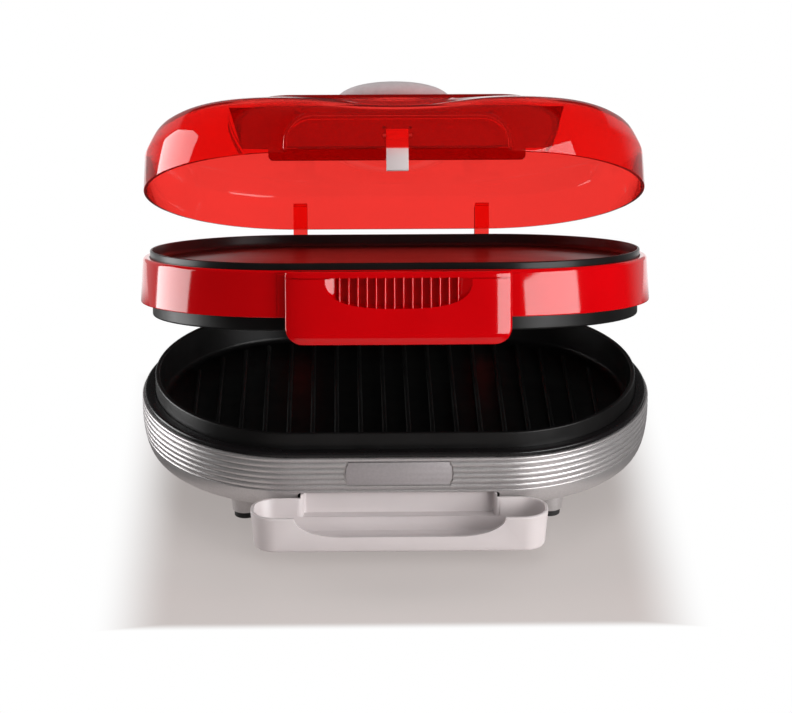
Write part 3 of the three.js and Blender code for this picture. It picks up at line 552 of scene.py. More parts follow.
def joined(piece, *tools):
    combined(piece, "UNION", *tools)


def cut(piece, *tools):
    combined(piece, "DIFFERENCE", *tools)


def gathered(name, pieces):
    """One object from pieces that don't touch"""
    shape = bmesh.new()
    for piece in pieces:
        shape.from_mesh(piece.data)
        bpy.data.objects.remove(piece)
    mesh = bpy.data.meshes.new(name)
    shape.to_mesh(mesh)
    shape.free()
    return added(name, mesh)


def softened(piece, width, angle=50, segments=3):
    """Rounds the edges that are sharper than an angle"""
    step = piece.modifiers.new("edges", "BEVEL")
    step.width = width * MM
    step.segments = segments
    step.limit_method = "ANGLE"
    step.angle_limit = radians(angle)
    step.use_clamp_overlap = True
    applied(piece)


def dressed(piece, place, body, node, material, sharp=32):
    """Puts a finished piece in its place in the model"""
    mesh = piece.data
    mesh.transform(place)
    mesh.shade_smooth()
    mesh.set_sharp_from_angle(angle=radians(sharp))
    mesh.materials.clear()
    mesh.materials.append(material)
    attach(piece, body)
    if node:
        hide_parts(node)


# Shader nodes
def plug(tree, socket, value):
    """Sets a socket, or links it to the output of another node"""
    if isinstance(value, bpy.types.NodeSocket):
        tree.links.new(value, socket)
    else:
        socket.default_value = value


def fill(tree, node, **inputs):
    """Sets or links a node's inputs by their names"""
    for name, value in inputs.items():
        plug(tree, node.inputs[name.replace("_", " ")], value)
    return node


def add_node(tree, kind, **inputs):
    return fill(tree, tree.nodes.new("ShaderNode" + kind), **inputs)


def chained(tree, operation, first, *others):
    """Values joined one after another by a math operation"""
    for other in others:
        node = add_node(tree, "Math")
        node.operation = operation
        plug(tree, node.inputs[0], first)
        plug(tree, node.inputs[1], other)
        first = node.outputs[0]
    return first


def eased(tree, value, low, high):
    """Zero where a value is low, one where it is high, and smooth between"""
    node = add_node(tree, "MapRange", Value=value, From_Min=low, From_Max=high)
    node.interpolation_type = "SMOOTHSTEP"
    return node.outputs["Result"]


def to_sides(tree, value, low, high):
    """Eased by how far a value lies from zero"""
    return eased(tree, chained(tree, "ABSOLUTE", value, 0), low, high)


def opposite(tree, value, low, high):
    """Eased towards lower values"""
    return eased(tree, chained(tree, "MULTIPLY", value, -1), low, high)


def emission(tree, color=WHITE, strength=1):
    return add_node(tree, "Emission", Color=color, Strength=strength).outputs["Emission"]


def mixed(tree, share, first, second):
    node = add_node(tree, "MixShader")
    for socket, value in zip(node.inputs, (share, first, second)):
        plug(tree, socket, value)
    return node.outputs["Shader"]


def ray_share(tree, *names):
    """One where a ray is any of the kinds named, and zero elsewhere"""
    path = add_node(tree, "LightPath")
    return chained(tree, "MAXIMUM", *(path.outputs[name] for name in names))


def surface(tree, shader, output="Material Output"):
    tree.links.new(shader, tree.nodes[output].inputs["Surface"])


def by_ray(tree, plain, reflected, seen):
    """A shader for what is seen, also through clear pieces, another for what glossy pieces
    mirror, and a plain one for all other rays"""
    glossy = ray_share(tree, "Is Glossy Ray")
    looked_at = ray_share(tree, "Is Camera Ray", "Is Transmission Ray")
    return mixed(tree, looked_at, mixed(tree, glossy, plain, reflected), seen)


# Materials
def finished(name, color, roughness, tone, sheen, grain, **shine):
    """A Principled material whose colour, roughness and bump vary with noise, each from the
    noise's scale and how far it goes"""
    material = bpy.data.materials.new(name)
    material.use_nodes = True
    tree = material.node_tree
    place = add_node(tree, "TexCoord").outputs["Object"]

    def noise(scale, detail=3):
        return add_node(tree, "TexNoise", Scale=scale, Detail=detail, Vector=place).outputs["Fac"]

    low, high = NOISE_SPAN
    ramp = add_node(tree, "ValToRGB", Fac=noise(tone[0]))
    for element, level, share in zip(ramp.color_ramp.elements, NOISE_SPAN, (-tone[1], tone[1])):
        element.color = [min(1, channel * (1 + share)) for channel in color] + [1]
        element.position = level
    spans = add_node(tree, "MapRange", Value=noise(sheen[0]), From_Min=low, From_Max=high,
                     To_Min=roughness - sheen[1], To_Max=roughness + sheen[1])
    bump = add_node(tree, "Bump", Distance=grain[1] * MM, Strength=1,
                    Height=noise(grain[0], GRAIN_DETAIL))
    fill(tree, tree.nodes["Principled BSDF"], Base_Color=ramp.outputs["Color"],
         Roughness=spans.outputs["Result"], Normal=bump.outputs["Normal"], **shine)
    return material


def silver_paint():
    return finished("silver_paint", (0.6, 0.575, 0.575), 0.4, (900, 0.05), (60, 0.03),
                    (2600, 0.006), Metallic=0.75, Coat_Weight=0.15)


def gloss_black():
    return finished("gloss_black", (0.008, 0.007, 0.0075), 0.25, (40, 0.1), (50, 0.05),
                    (1500, 0.004), Specular_IOR_Level=0.35)


def matt_black():
    return finished("matt_black", (0.02, 0.018, 0.019), 0.5, (60, 0.12), (50, 0.06), (900, 0.02),
                    Specular_IOR_Level=0.4)


def non_stick():
    return finished("non_stick", (0.006, 0.0055, 0.0055), 0.38, (70, 0.15), (45, 0.05),
                    (1800, 0.012), Specular_IOR_Level=0.3)


def bun_pan_coat():
    return finished("bun_pan_coat", (0.01, 0.009, 0.009), 0.3, (60, 0.12), (40, 0.02),
                    (1600, 0.002), Specular_IOR_Level=0.18)


def gloss_red():
    return finished("gloss_red", (0.57, 0.0, 0.002), 0.08, (25, 0.05), (30, 0.015), (220, 0.001),
                    Specular_IOR_Level=0.4)


def pale_plastic():
    return finished("pale_plastic", (0.66, 0.6, 0.6), 0.38, (30, 0.02), (60, 0.04), (1400, 0.006),
                    Subsurface_Weight=0.05, Subsurface_Radius=(0.002, 0.0016, 0.0014),
                    Subsurface_Scale=1)


def steel():
    return finished("steel", (0.58, 0.575, 0.57), 0.3, (200, 0.05), (90, 0.06), (900, 0.006),
                    Metallic=1)


def sheet_metal():
    return finished("sheet_metal", (0.62, 0.62, 0.61), 0.38, (80, 0.06), (70, 0.07), (500, 0.01),
                    Metallic=1)


def ceramic():
    return finished("ceramic", (0.74, 0.7, 0.63), 0.65, (90, 0.05), (80, 0.06), (700, 0.02))


def rubber():
    return finished("rubber", (0.022, 0.021, 0.021), 0.62, (90, 0.12), (80, 0.06), (900, 0.02),
                    Specular_IOR_Level=0.35)


def clear_red(name, color):
    """Clear plastic, which a shadow ray passes as it would pass a red film"""
    material = finished(name, color, 0.03, (14, 0.03), (20, 0.008), (120, 0.001),
                        Transmission_Weight=0.93, IOR=1.32)
    tree = material.node_tree
    clear = tree.nodes["Principled BSDF"].outputs["BSDF"]
    film = add_node(tree, "BsdfTransparent", Color=FILM_COLOR).outputs["BSDF"]
    surface(tree, mixed(tree, ray_share(tree, "Is Shadow Ray"), clear, film))
    return material


def badge_paint():
    return finished("badge_paint", (0.46, 0.43, 0.44), 0.42, (700, 0.05), (50, 0.04), (2200, 0.008),
                    Metallic=0.55, Coat_Weight=0.1)


def cap_paint():
    return finished("cap_paint", (0.54, 0.48, 0.49), 0.5, (300, 0.05), (50, 0.04), (2000, 0.008),
                    Specular_IOR_Level=0.3)


SILVER = silver_paint()
BLACK = gloss_black()
DULL_BLACK = matt_black()
NON_STICK = non_stick()
PAN_COAT = bun_pan_coat()
RED = gloss_red()
PALE = pale_plastic()
STEEL = steel()
SHEET = sheet_metal()
CERAMIC = ceramic()
RUBBER = rubber()
CLEAR_RED = clear_red("clear_red", (0.88, 0.045, 0.036))
# A darker copy of the clear red for the lid's inner front wall: painted shade that darkens the
# lid's front
SHADED_CLEAR_RED = clear_red("clear_red_painted_shade", (0.34, 0.003, 0.003))
BADGE_SILVER = badge_paint()
CAP_GREY = cap_paint()


# The base
def bowl_inset(height):
    drop = held((BOWL_TOP - height) / BOWL_HEIGHT)
    return BOWL_REACH * (1 - sqrt(1 - drop * drop))


def ridge_profile():
    """The rounded ridges of the casing, with a groove over each of them"""
    profile = []
    for i in range(GROOVES):
        last = i == GROOVES - 1
        top = CASE_TOP - FIRST_GROOVE - i * GROOVE_PITCH
        span = GROOVE_PITCH * LAST_GROOVE_SHARE if last else GROOVE_PITCH
        for k in range(RIDGE_STEPS // 2 + 1 if last else RIDGE_STEPS):
            share = k / RIDGE_STEPS
            height = top - share * span
            hollow = GROOVE_DEPTH * (1 - sqrt(1 - (2 * share - 1) ** 2))
            profile.append((bowl_inset(height) + hollow, height))
    return profile


def bowl_profile(inset, height, from_z):
    """The rounded lower part of the casing, downwards"""
    start = asin(held((BOWL_TOP - from_z) / height))
    profile = []
    for i in range(1, BOWL_STEPS + 1):
        angle = start + (pi / 2 - start) * i / BOWL_STEPS
        profile.append((inset + BOWL_REACH * (1 - cos(angle)),
                        BOWL_TOP - height * sin(angle)))
    return profile


def badge_outline(spread):
    """The badge's outline: its ends bow out, with a scallop for each ridge they meet"""
    top = CASE_TOP - FIRST_GROOVE
    low = top - BADGE_RIDGES * GROOVE_PITCH
    middle, half = (top + low) / 2, (top - low) / 2
    side = []
    for i in range(BADGE_RIDGES * BADGE_STEPS + 1):
        z = low + (top - low) * i / (BADGE_RIDGES * BADGE_STEPS)
        bow = BADGE_BOW * (1 - ((z - middle) / half) ** 2)
        scallop = BADGE_SCALLOP * abs(sin(pi * i / BADGE_STEPS))
        lift = spread * (z - middle) / half
        side.append((BADGE_HALF - BADGE_BOW + bow - scallop + spread, z + lift))
    return mirrored(side)


def slot_tool():
    outline = rounded([
        (-SLOT_HALF_WIDTH, CASE_BOTTOM - FAR, 0), (SLOT_HALF_WIDTH, CASE_BOTTOM - FAR, 0),
        (SLOT_HALF_WIDTH, SLOT_TOP, SLOT_CORNER), (-SLOT_HALF_WIDTH, SLOT_TOP, SLOT_CORNER),
    ])
    return extruded("slot", outline, -HALF_DEPTH - FAR, LIP_INSET + FAR - HALF_DEPTH, "Y")


def base_housing():
    profile = rounded([(CASE_WALL, CASE_TOP, 0), (0, CASE_TOP, CASE_EDGE),
                       (0, CASE_TOP - CASE_EDGE_DROP * 2, 0)])
    profile.pop()
    lip = CASE_TOP - FIRST_GROOVE
    for k in range(1, ARC_STEPS):
        share = k / ARC_STEPS
        height = CASE_TOP - CASE_EDGE_DROP + (lip - CASE_TOP + CASE_EDGE_DROP) * share
        profile.append((GROOVE_DEPTH * (1 - sqrt(1 - share * share)), height))
    profile += ridge_profile()
    profile += bowl_profile(0, BOWL_HEIGHT, profile[-1][1])
    profile += [(LIP_INSET, CASE_BOTTOM), (LIP_INSET, CASE_BOTTOM + LIP_WALL)]
    profile += bowl_profile(CASE_WALL, BOWL_HEIGHT - LIP_WALL, BOWL_TOP)[::-1]
    shell = swept("base_casing", profile)
    pocket = extruded("pocket", badge_outline(BADGE_CLEARANCE),
                      -HALF_DEPTH - FAR, BADGE_POCKET - HALF_DEPTH, "Y")
    cord_hole = rod("cord_hole", CORD_HOLE, HALF_DEPTH - LIP_INSET, HALF_DEPTH + FAR, "Y",
                    (0, 0, CORD_Z))
    cut(shell, slot_tool(), pocket, cord_hole)
    dressed(shell, BASE, "base", "base_housing", SILVER)


def badge():
    back = BADGE_POCKET - GAP - HALF_DEPTH
    plate = extruded("badge_panel", badge_outline(0), back - BADGE_THICKNESS, back, "Y")
    softened(plate, FINE_EDGE, angle=60, segments=2)
    dressed(plate, BASE, "base", "front_nameplate", BADGE_SILVER)


def base_bezel():
    ledge_low = BEZEL_LEDGE_TOP - BEZEL_SHEET
    profile = rounded([
        (BEZEL_INSET, CASE_TOP + GAP, FINE_EDGE), (BEZEL_INSET, BEZEL_TOP, BEZEL_EDGE),
        (BEZEL_SKIRT, BEZEL_TOP, SMALL_EDGE), (BEZEL_SKIRT, BEZEL_LEDGE_TOP, 0),
        (BEZEL_LEDGE, BEZEL_LEDGE_TOP, 0), (BEZEL_LEDGE, ledge_low, 0),
        (BEZEL_SKIRT - BEZEL_SHEET, ledge_low, 0), (BEZEL_SKIRT - BEZEL_SHEET, CASE_TOP + GAP, 0),
    ])
    dressed(swept("base_rim", profile), BASE, "base", "base_bezel", BLACK)


def rib_bars(foot, top):
    """Rounded bars with round ends, inside the oval drawn in by the margin"""
    bars = []
    half = RIB_WIDTH / 2
    section = rounded([(-half, foot, 0), (half, foot, 0), (half, top, RIB_CREST),
                       (-half, top, RIB_CREST)], RIB_ARC_STEPS)
    x = RIB_PITCH / 2
    while x < HALF_LENGTH - RIB_MARGIN - RIB_WIDTH:
        past = max(0, x + half - HALF_STRAIGHT) / (END_REACH - RIB_MARGIN)
        reach = (HALF_DEPTH - RIB_MARGIN) * sqrt(1 - past * past)
        for side in (-1, 1):
            bars.append(tapered_bar([(side * x + a, b) for a, b in section], reach, foot, top))
        x += RIB_PITCH
    return gathered("ribs", bars)


def tapered_bar(outline, reach, foot, top):
    """A bar along Y whose ends run down in a quarter round"""
    height = abs(foot - top)
    ends = [reach - height * (1 - cos(angle)) * RIB_END_STRETCH
            for angle in quarter(RIB_END_STEPS)]
    rings = []
    for y in sorted([-end for end in ends] + ends):
        near = min(1, (reach - abs(y)) / (height * RIB_END_STRETCH))
        share = sqrt(max(RIB_END_LEAST, 1 - (1 - near) ** 2))
        rings.append([(a, y, foot + (b - foot) * share) for a, b in outline])
    return lofted("bar", rings)


def lower_grill_plate():
    inner = PLATE_INSET + PLATE_RIM_WIDTH
    plate = dished("lower_plate", [
        (FLAT_INSET, PLATE_FLOOR, 0), (FLAT_INSET, PLATE_BOTTOM, 0),
        (PLATE_INSET, PLATE_BOTTOM, PLATE_FOOT_EDGE), (PLATE_INSET, PLATE_RIM_TOP, PLATE_RIM_EDGE),
        (inner, PLATE_RIM_TOP, RIM_INNER_EDGE), (inner + PLATE_SLOPE, PLATE_FLOOR, PLATE_FILLET),
    ])
    middle = (0, DRAIN_FROM_FRONT - HALF_DEPTH, 0)
    end = PLATE_BOTTOM - DRAIN_REACH
    flare_top = PLATE_FLOOR + DRAIN_FLARE_TOP
    spout = rod("spout", DRAIN_BORE + DRAIN_WALL, end, PLATE_FLOOR - GAP, "Z", middle)
    bore = turned("bore", [
        (0, end - FAR), (DRAIN_BORE, end - FAR), (DRAIN_BORE, PLATE_FLOOR - DRAIN_FLARE_DEPTH),
        (DRAIN_BORE + DRAIN_FLARE, flare_top), (0, flare_top),
    ], "Z", middle)
    joined(plate, spout, rib_bars(PLATE_FLOOR - RIB_SINK, PLATE_FLOOR + RIB_HEIGHT))
    cut(plate, bore)
    dressed(plate, BASE, "base", "lower_grill_plate", NON_STICK)


def feet():
    for place in ("front_left", "front_right", "back_left", "back_right"):
        low, high = (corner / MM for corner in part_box("foot_" + place))
        middle = ((low.x + high.x) / 2, (low.y + high.y) / 2, 0)
        top = CASE_BOTTOM - GAP
        profile = rounded([
            (0, low.z, 0), (FOOT_BOTTOM_RADIUS, low.z, SOFT_EDGE),
            (FOOT_TOP_RADIUS, top, SOFT_EDGE), (FOOT_STUD_RADIUS, top, 0),
            (FOOT_STUD_RADIUS, high.z, SMALL_EDGE), (0, high.z, 0),
        ])
        foot = turned("stand_" + place, profile, "Z", middle)
        dressed(foot, Matrix(), "base", "foot_" + place, SILVER)
        pad_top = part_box("foot_pad_" + place)[1].z / MM
        pad = rod("pad_" + place, PAD_RADIUS, 0, pad_top, "Z", middle, SOFT_EDGE, PAD_TOP_EDGE)
        dressed(pad, Matrix(), "base", "foot_pad_" + place, RUBBER)


# The drip tray
def cup(name, levels, middle):
    """Rounded rectangles, each drawn in by an inset at a height over the cup's foot"""
    rings = []
    for inset, height in levels:
        x, y = CUP_HALF - inset, CUP_DEPTH / 2 - inset
        radius = max(SMALL_EDGE, CUP_CORNER - inset)
        corners = [(x, y, radius), (-x, y, radius), (-x, -y, radius), (x, -y, radius)]
        outline = rounded(corners, CUP_ARC_STEPS)
        rings.append([(a, b + middle, CUP_BOTTOM + height) for a, b in outline])
    return lofted(name, rings)


def mouth_tool(wall, panel):
    """The space between the tray's sides, from the cup to the panel behind it"""
    half = TRAY_HALF - TRAY_WALL
    wide = half + PANEL_CORNER
    corner = PANEL_CORNER - HAIR
    outline = rounded([
        (-wide, wall - OVERLAP, 0), (wide, wall - OVERLAP, 0), (wide, wall, 0),
        (half, wall, corner), (half, panel, PANEL_FOLD), (-half, panel, PANEL_FOLD),
        (-half, wall, corner), (-wide, wall, 0),
    ], MOUTH_ARC_STEPS)
    return extruded("mouth", outline, LEDGE_TOP, TRAY_TOP + FAR, "Z")


def dip_outline(top):
    side = [(DIP_HALF, top + FAR)]
    for angle in quarter(DIP_STEPS):
        x = DIP_HALF - DIP_SLOPE * (1 - cos(angle))
        side.append((x, top - DIP_DEPTH * sin(angle)))
    return mirrored(side)


def drip_tray():
    back = bowl_inset(SLOT_TOP) - HALF_DEPTH - CUP_CLEARANCE
    front = back - CUP_DEPTH
    middle = (back + front) / 2
    wall = back - CUP_WALL
    panel = wall + PANEL_BACK
    foot = [(inset + CUP_DRAFT, height) for inset, height in CUP_FOOT]
    floor_edge = [(CUP_WALL + CUP_DRAFT + inset, CUP_WALL + height) for inset, height in CUP_FLOOR]
    tray = cup("tray", foot + [(inset, CUP_HEIGHT - drop) for inset, drop in CUP_RIM], middle)
    hollow = cup("hollow", floor_edge + [
        (CUP_WALL, CUP_HEIGHT - CUP_LIP_DROP), (CUP_WALL - CUP_LIP, CUP_HEIGHT + CUP_LIP_RISE),
        (CUP_WALL - CUP_LIP, CUP_HEIGHT + FAR),
    ], middle)
    body = block("body", TRAY_HALF, (wall, TRAY_BACK), (TRAY_BOTTOM, TRAY_TOP))
    channel = block("channel", TRAY_HALF - TRAY_WALL, (panel + TRAY_WALL, TRAY_BACK - TRAY_WALL),
                    (TRAY_BOTTOM + TRAY_WALL, TRAY_TOP + FAR))
    dip = extruded("dip", dip_outline(CUP_BOTTOM + CUP_HEIGHT), front - FAR,
                   front + CUP_WALL + CUP_DRAFT + OVERLAP, "Y")
    cut(tray, hollow)
    joined(tray, body)
    cut(tray, channel, mouth_tool(wall, panel), dip)
    softened(tray, CUP_EDGE)
    dressed(tray, BASE, "tray", "drip_tray", PALE, sharp=40)


# The ring
def middle_housing():
    top_inset = RING_INSET + RING_FLARE
    inner = PAN_INSET - GAP
    under = RING_HEIGHT - RING_WALL
    shell = swept("ring", rounded([
        (RING_INSET, 0, RING_FOOT_EDGE), (top_inset, RING_HEIGHT, RING_TOP_EDGE),
        (inner, RING_HEIGHT, SMALL_EDGE), (inner, under, 0), (top_inset + RING_WALL, under, 0),
        (RING_INSET + RING_WALL, RING_FLANGE_SHEET, 0),
        (RING_INSET + RING_FLANGE, RING_FLANGE_SHEET, 0), (RING_INSET + RING_FLANGE, 0, SMALL_EDGE),
    ]))
    front = -HALF_DEPTH + RING_INSET
    top = RING_HEIGHT - BOSS_TOP_DROP
    boss = extruded("boss", rounded([
        (front + RING_WALL / 2, BOSS_LOW, 0), (front - BOSS_RISE, BOSS_LOW, BOSS_LOW),
        (front - BOSS_RISE + RING_FLARE * BOSS_LEAN_SHARE, top, SOFT_EDGE),
        (front + RING_FLARE + RING_WALL / 2, top, 0),
    ]), -BOSS_HALF, BOSS_HALF, "X")
    slot = block("slot", LATCH_SLOT_HALF, (-HALF_DEPTH - FAR, LATCH_SLOT_BACK),
                 (under - LATCH_DROP, RING_HEIGHT + FAR))
    joined(shell, boss)
    cut(shell, slot)
    dressed(shell, RING, "middle", "middle_housing", RED)


def handle_bow(x):
    """How far the face lies back: it bows slightly, and falls away towards its ends"""
    near = max(0, 1 - (HANDLE_HALF - abs(x)) / HANDLE_END_REACH)
    return HANDLE_BOW * (x / HANDLE_HALF) ** 2 + HANDLE_END_DEPTH * (1 - sqrt(1 - near * near))


def handle_bevel(z):
    return HANDLE_BEVEL_REACH * max(0, (HANDLE_BEVEL - HANDLE_DROP - z) / HANDLE_BEVEL)


def handle_outline(x):
    """The heights of the handle's edges at a place across, inside its rounded corners"""
    drops = []
    for radius in (HANDLE_CORNER, HANDLE_TOP_CORNER):
        past = max(0, abs(x) - HANDLE_HALF + radius)
        drops.append(radius - sqrt(max(0, radius ** 2 - past ** 2)))
    return drops[0] - HANDLE_DROP, RING_HEIGHT - drops[1]


def handle_body(front, back):
    """The handle's block, as columns from its back over its top, face and bevel to its back"""
    edge = quarter(HANDLE_EDGE_STEPS)
    columns = []
    for i in range(HANDLE_COLUMNS + 1):
        x = -HANDLE_HALF * cos(pi * i / HANDLE_COLUMNS)
        low, high = handle_outline(x)
        face = front + handle_bow(x)
        column = [(x, back, high)]
        for angle in edge:
            column.append((x, face + HANDLE_EDGE * (1 - sin(angle)),
                           high - HANDLE_EDGE * (1 - cos(angle))))
        start = high - HANDLE_EDGE
        stop = min(start, low + HANDLE_EDGE)
        for k in range(1, HANDLE_ROWS + 1):
            z = start + (stop - start) * k / HANDLE_ROWS
            column.append((x, face + handle_bevel(z), z))
        reach = handle_bevel(stop)
        for angle in edge[1:]:
            column.append((x, face + reach + HANDLE_EDGE * (1 - cos(angle)),
                           stop - (stop - low) * sin(angle)))
        column.append((x, back, low))
        columns.append(column)
    return lofted("handle", columns)


def scoop_low(x):
    """The height of the scoop's curved lower edge at a place across"""
    across = min(1, abs(x) / SCOOP_HALF) ** SCOOP_POWER
    return SCOOP_TOP - SCOOP_HEIGHT * (1 - across) ** (1 / SCOOP_POWER)


def scoop_depth(x, z):
    """How deep the scoop is: it slopes in from its ends, and drops quickly at its curved edge"""
    from_end = min(1, (SCOOP_HALF - abs(x)) / SCOOP_RAMP)
    from_edge = held((z - scoop_low(x)) / SCOOP_WALL)
    well = WELL_DEPTH * smooth(SCOOP_HALF - SCOOP_RAMP - abs(x))
    return (SCOOP_DEPTH * from_end + well) * sqrt(1 - (1 - from_edge) ** 2)


def scoop_tool(front):
    """The space of the scoop, as a grid over its outline and a flat face before the handle"""
    columns = []
    for i in range(SCOOP_COLUMNS + 1):
        x = SCOOP_HALF * (2 * i / SCOOP_COLUMNS - 1) * SCOOP_INSIDE_SHARE
        low = scoop_low(x)
        heights = [low + (SCOOP_TOP - low) * (k / SCOOP_ROWS) ** 2 for k in range(SCOOP_ROWS + 1)]
        column = [(x, front - FAR, SCOOP_TOP), (x, front - FAR, low)]
        column += [(x, front + handle_bow(x) + scoop_depth(x, z), z) for z in heights]
        columns.append(column)
    return lofted("scoop", columns)


def groove_tool(front):
    """A narrow slot along the whole face, which follows its bow"""
    middle, half = RING_HEIGHT - HANDLE_LIP, HANDLE_GROOVE / 2
    columns = []
    for i in range(HANDLE_COLUMNS + 1):
        x = HANDLE_HALF * (2 * i / HANDLE_COLUMNS - 1) * GROOVE_REACH_SHARE
        y = front + handle_bow(min(HANDLE_HALF, abs(x))) + HANDLE_GROOVE_DEPTH
        columns.append([(x, front - FAR, middle - half), (x, y, middle - half),
                        (x, y, middle + half), (x, front - FAR, middle + half)])
    return lofted("groove", columns)


def fins(front):
    """Upright fins with rounded front edges, standing in the scoop"""
    bars = []
    half = FIN_WIDTH / 2
    edge_round = half * ROUND_SHARE
    for i in range(FINS):
        x = (i - (FINS - 1) / 2) * FIN_PITCH
        edge = front + FIN_SET_BACK + handle_bow(x)
        back = front + SCOOP_DEPTH + WELL_DEPTH + HANDLE_WALL / 4
        outline = rounded([(x - half, edge, edge_round), (x + half, edge, edge_round),
                           (x + half, back, 0), (x - half, back, 0)])
        low = scoop_low(max(0, abs(x) - half)) - HANDLE_EDGE
        bars.append(extruded("fin", outline, low, SCOOP_TOP + HANDLE_GROOVE / 2, "Z"))
    return gathered("fins", bars)


def front_handle():
    back = -HALF_DEPTH - GAP
    front = back - HANDLE_REACH
    body = handle_body(front, back)
    behind = front + SCOOP_DEPTH + WELL_DEPTH + HANDLE_WALL / 2
    pocket = block("pocket", HANDLE_HALF - HANDLE_WALL, (behind, back + FAR),
                   (HANDLE_WALL - HANDLE_DROP / 2, RING_HEIGHT - HANDLE_WALL))
    latch_slot = block("latch", LATCH_SLOT_HALF, (back - HANDLE_SLOT_REACH, back + FAR),
                       (SCOOP_TOP + HANDLE_GROOVE, RING_HEIGHT + FAR))
    cut(body, pocket, scoop_tool(front), latch_slot, groove_tool(front))
    joined(body, fins(front))
    softened(body, FINE_EDGE)
    dressed(body, RING, "middle", "front_handle", RED, sharp=36)


def bun_pan():
    inner = PAN_INSET + PAN_RIM_WIDTH
    under = PAN_FLOOR - PAN_SHEET
    pan = dished("pan", [
        (FLAT_INSET, PAN_FLOOR, 0), (FLAT_INSET, under, 0), (PAN_INSET, under, PAN_SHEET),
        (PAN_INSET, PAN_RIM_TOP, PAN_RIM_EDGE), (inner, PAN_RIM_TOP, PAN_RIM_EDGE),
        (inner + PAN_RIM_WIDTH / 2, PAN_FLOOR, PAN_FILLET),
    ])
    dressed(pan, RING, "middle", "bun_pan", PAN_COAT)


def upper_grill_plate():
    inner = PRESS_INSET + PRESS_RIM_WIDTH
    low = PRESS_FLANGE_LOW
    high = low + PRESS_FLANGE_SHEET
    plate = dished("upper_plate", [
        (FLAT_INSET, PRESS_TOP, 0), (FLAT_INSET, PRESS_FLOOR, 0),
        (inner + PLATE_SLOPE, PRESS_FLOOR, PRESS_FILLET), (inner, -PRESS_DROP, RIM_INNER_EDGE),
        (PRESS_INSET, -PRESS_DROP, PRESS_RIM_EDGE), (PRESS_INSET, low, SMALL_EDGE),
        (PRESS_FLANGE_INSET, low, SMALL_EDGE), (PRESS_FLANGE_INSET, high, SMALL_EDGE),
        (inner, high, SMALL_EDGE), (inner + PRESS_STEP, PRESS_TOP, SOFT_EDGE),
    ])
    joined(plate, rib_bars(PRESS_FLOOR + RIB_SINK, PRESS_FLOOR - RIB_HEIGHT))
    dressed(plate, RING, "middle", "upper_grill_plate", NON_STICK)


# The lid
def lid_profile(wall):
    start = LID_INSET + LID_DRAFT + wall
    shoulder = LID_SHOULDER - wall
    end = acos(1 - (DECK_INSET - start) / shoulder)
    profile = []
    for i in range(LID_STEPS + 1):
        angle = end * i / LID_STEPS
        profile.append((
            start + shoulder * (1 - cos(angle)),
            LID_SIDE + (LID_RISE - wall) * sin(angle),
        ))
    deck = profile[-1][1] + DECK_STEP
    span = HALF_DEPTH - DECK_INSET - DECK_EDGE
    for i in range(CROWN_STEPS + 1):
        share = CROWN_REACH_SHARE * i / CROWN_STEPS
        profile.append((
            DECK_INSET + DECK_EDGE + span * share,
            deck + CROWN_RISE * (1 - (1 - share) ** 2),
        ))
    return profile


def end_fullness(x, y):
    """How far the dome's rounded ends stand above its plain profile"""
    past = max(0, abs(x) - HALF_STRAIGHT)
    out = hypot(past / END_REACH, y / HALF_DEPTH)
    inset = END_REACH * (1 - out)
    rise = smooth((inset - LID_INSET - LID_DRAFT) / FULL_RISE_WITHIN)
    fall = 1 - smooth((inset - FULL_FALL_FROM) / FULL_FALL_WITHIN)
    return FULL_HEIGHT * rise * fall * smooth(past / (END_REACH * FULL_END_SHARE))


def dome_lift(x, y):
    """How far the dome stands over its plain profile: it is fuller at its ends, and sinks
    between the two buns at the front and at the back"""
    across = x / VALLEY_HALF_WIDTH
    along = (abs(y) - VALLEY_FROM_MIDDLE) / VALLEY_REACH
    from_deck = (abs(y) - HALF_DEPTH + DECK_INSET) / VALLEY_REACH
    from_side = (HALF_DEPTH - LID_INSET * 2 - abs(y)) / VALLEY_REACH
    fade = held(from_side * 2) * held(from_deck * 2)
    return end_fullness(x, y) - VALLEY_DEPTH * fade * exp(-across * across - along * along)


def bulge(wall):
    """The grip bulge, rounded along its front edge"""
    half, top, corner = BULGE_HALF - wall, BULGE_HEIGHT - wall, BULGE_CORNER - wall
    low = -FAR if wall else 0
    back = LID_INSET + LID_WALL * 2 - HALF_DEPTH + wall
    front = BULGE_FRONT + wall
    edge = max(BULGE_LEAST_EDGE, BULGE_EDGE - wall)
    rings = []
    for angle in quarter(BULGE_EDGE_STEPS):
        inset = edge * (1 - sin(angle))
        y = front + edge * (1 - cos(angle))
        side = [(half - inset, low, 0), (half - inset, top - inset, corner - inset)]
        rings.append([(a, y, b) for a, b in rounded(mirrored(side), BULGE_ARC_STEPS)])
    rings.append([(a, back, b) for a, _, b in rings[-1]])
    return lofted("bulge", rings)


def latch_ears():
    """The two ears inside the bulge that hold the latch's pin"""
    ears = []
    for side in (-1, 1):
        x = side * (LATCH_WIDTH / 2 + GAP + LATCH_EAR / 2)
        across = (BULGE_FRONT + LID_WALL / 2, LATCH_Y + LATCH_THICKNESS / 2 + LATCH_EAR)
        heights = (LATCH_PIN_Z - LATCH_EAR_RISE, LATCH_PIN_Z + LATCH_EAR_RISE)
        ears.append(block("ear", LATCH_EAR / 2, across, heights, x))
    return gathered("ears", ears)


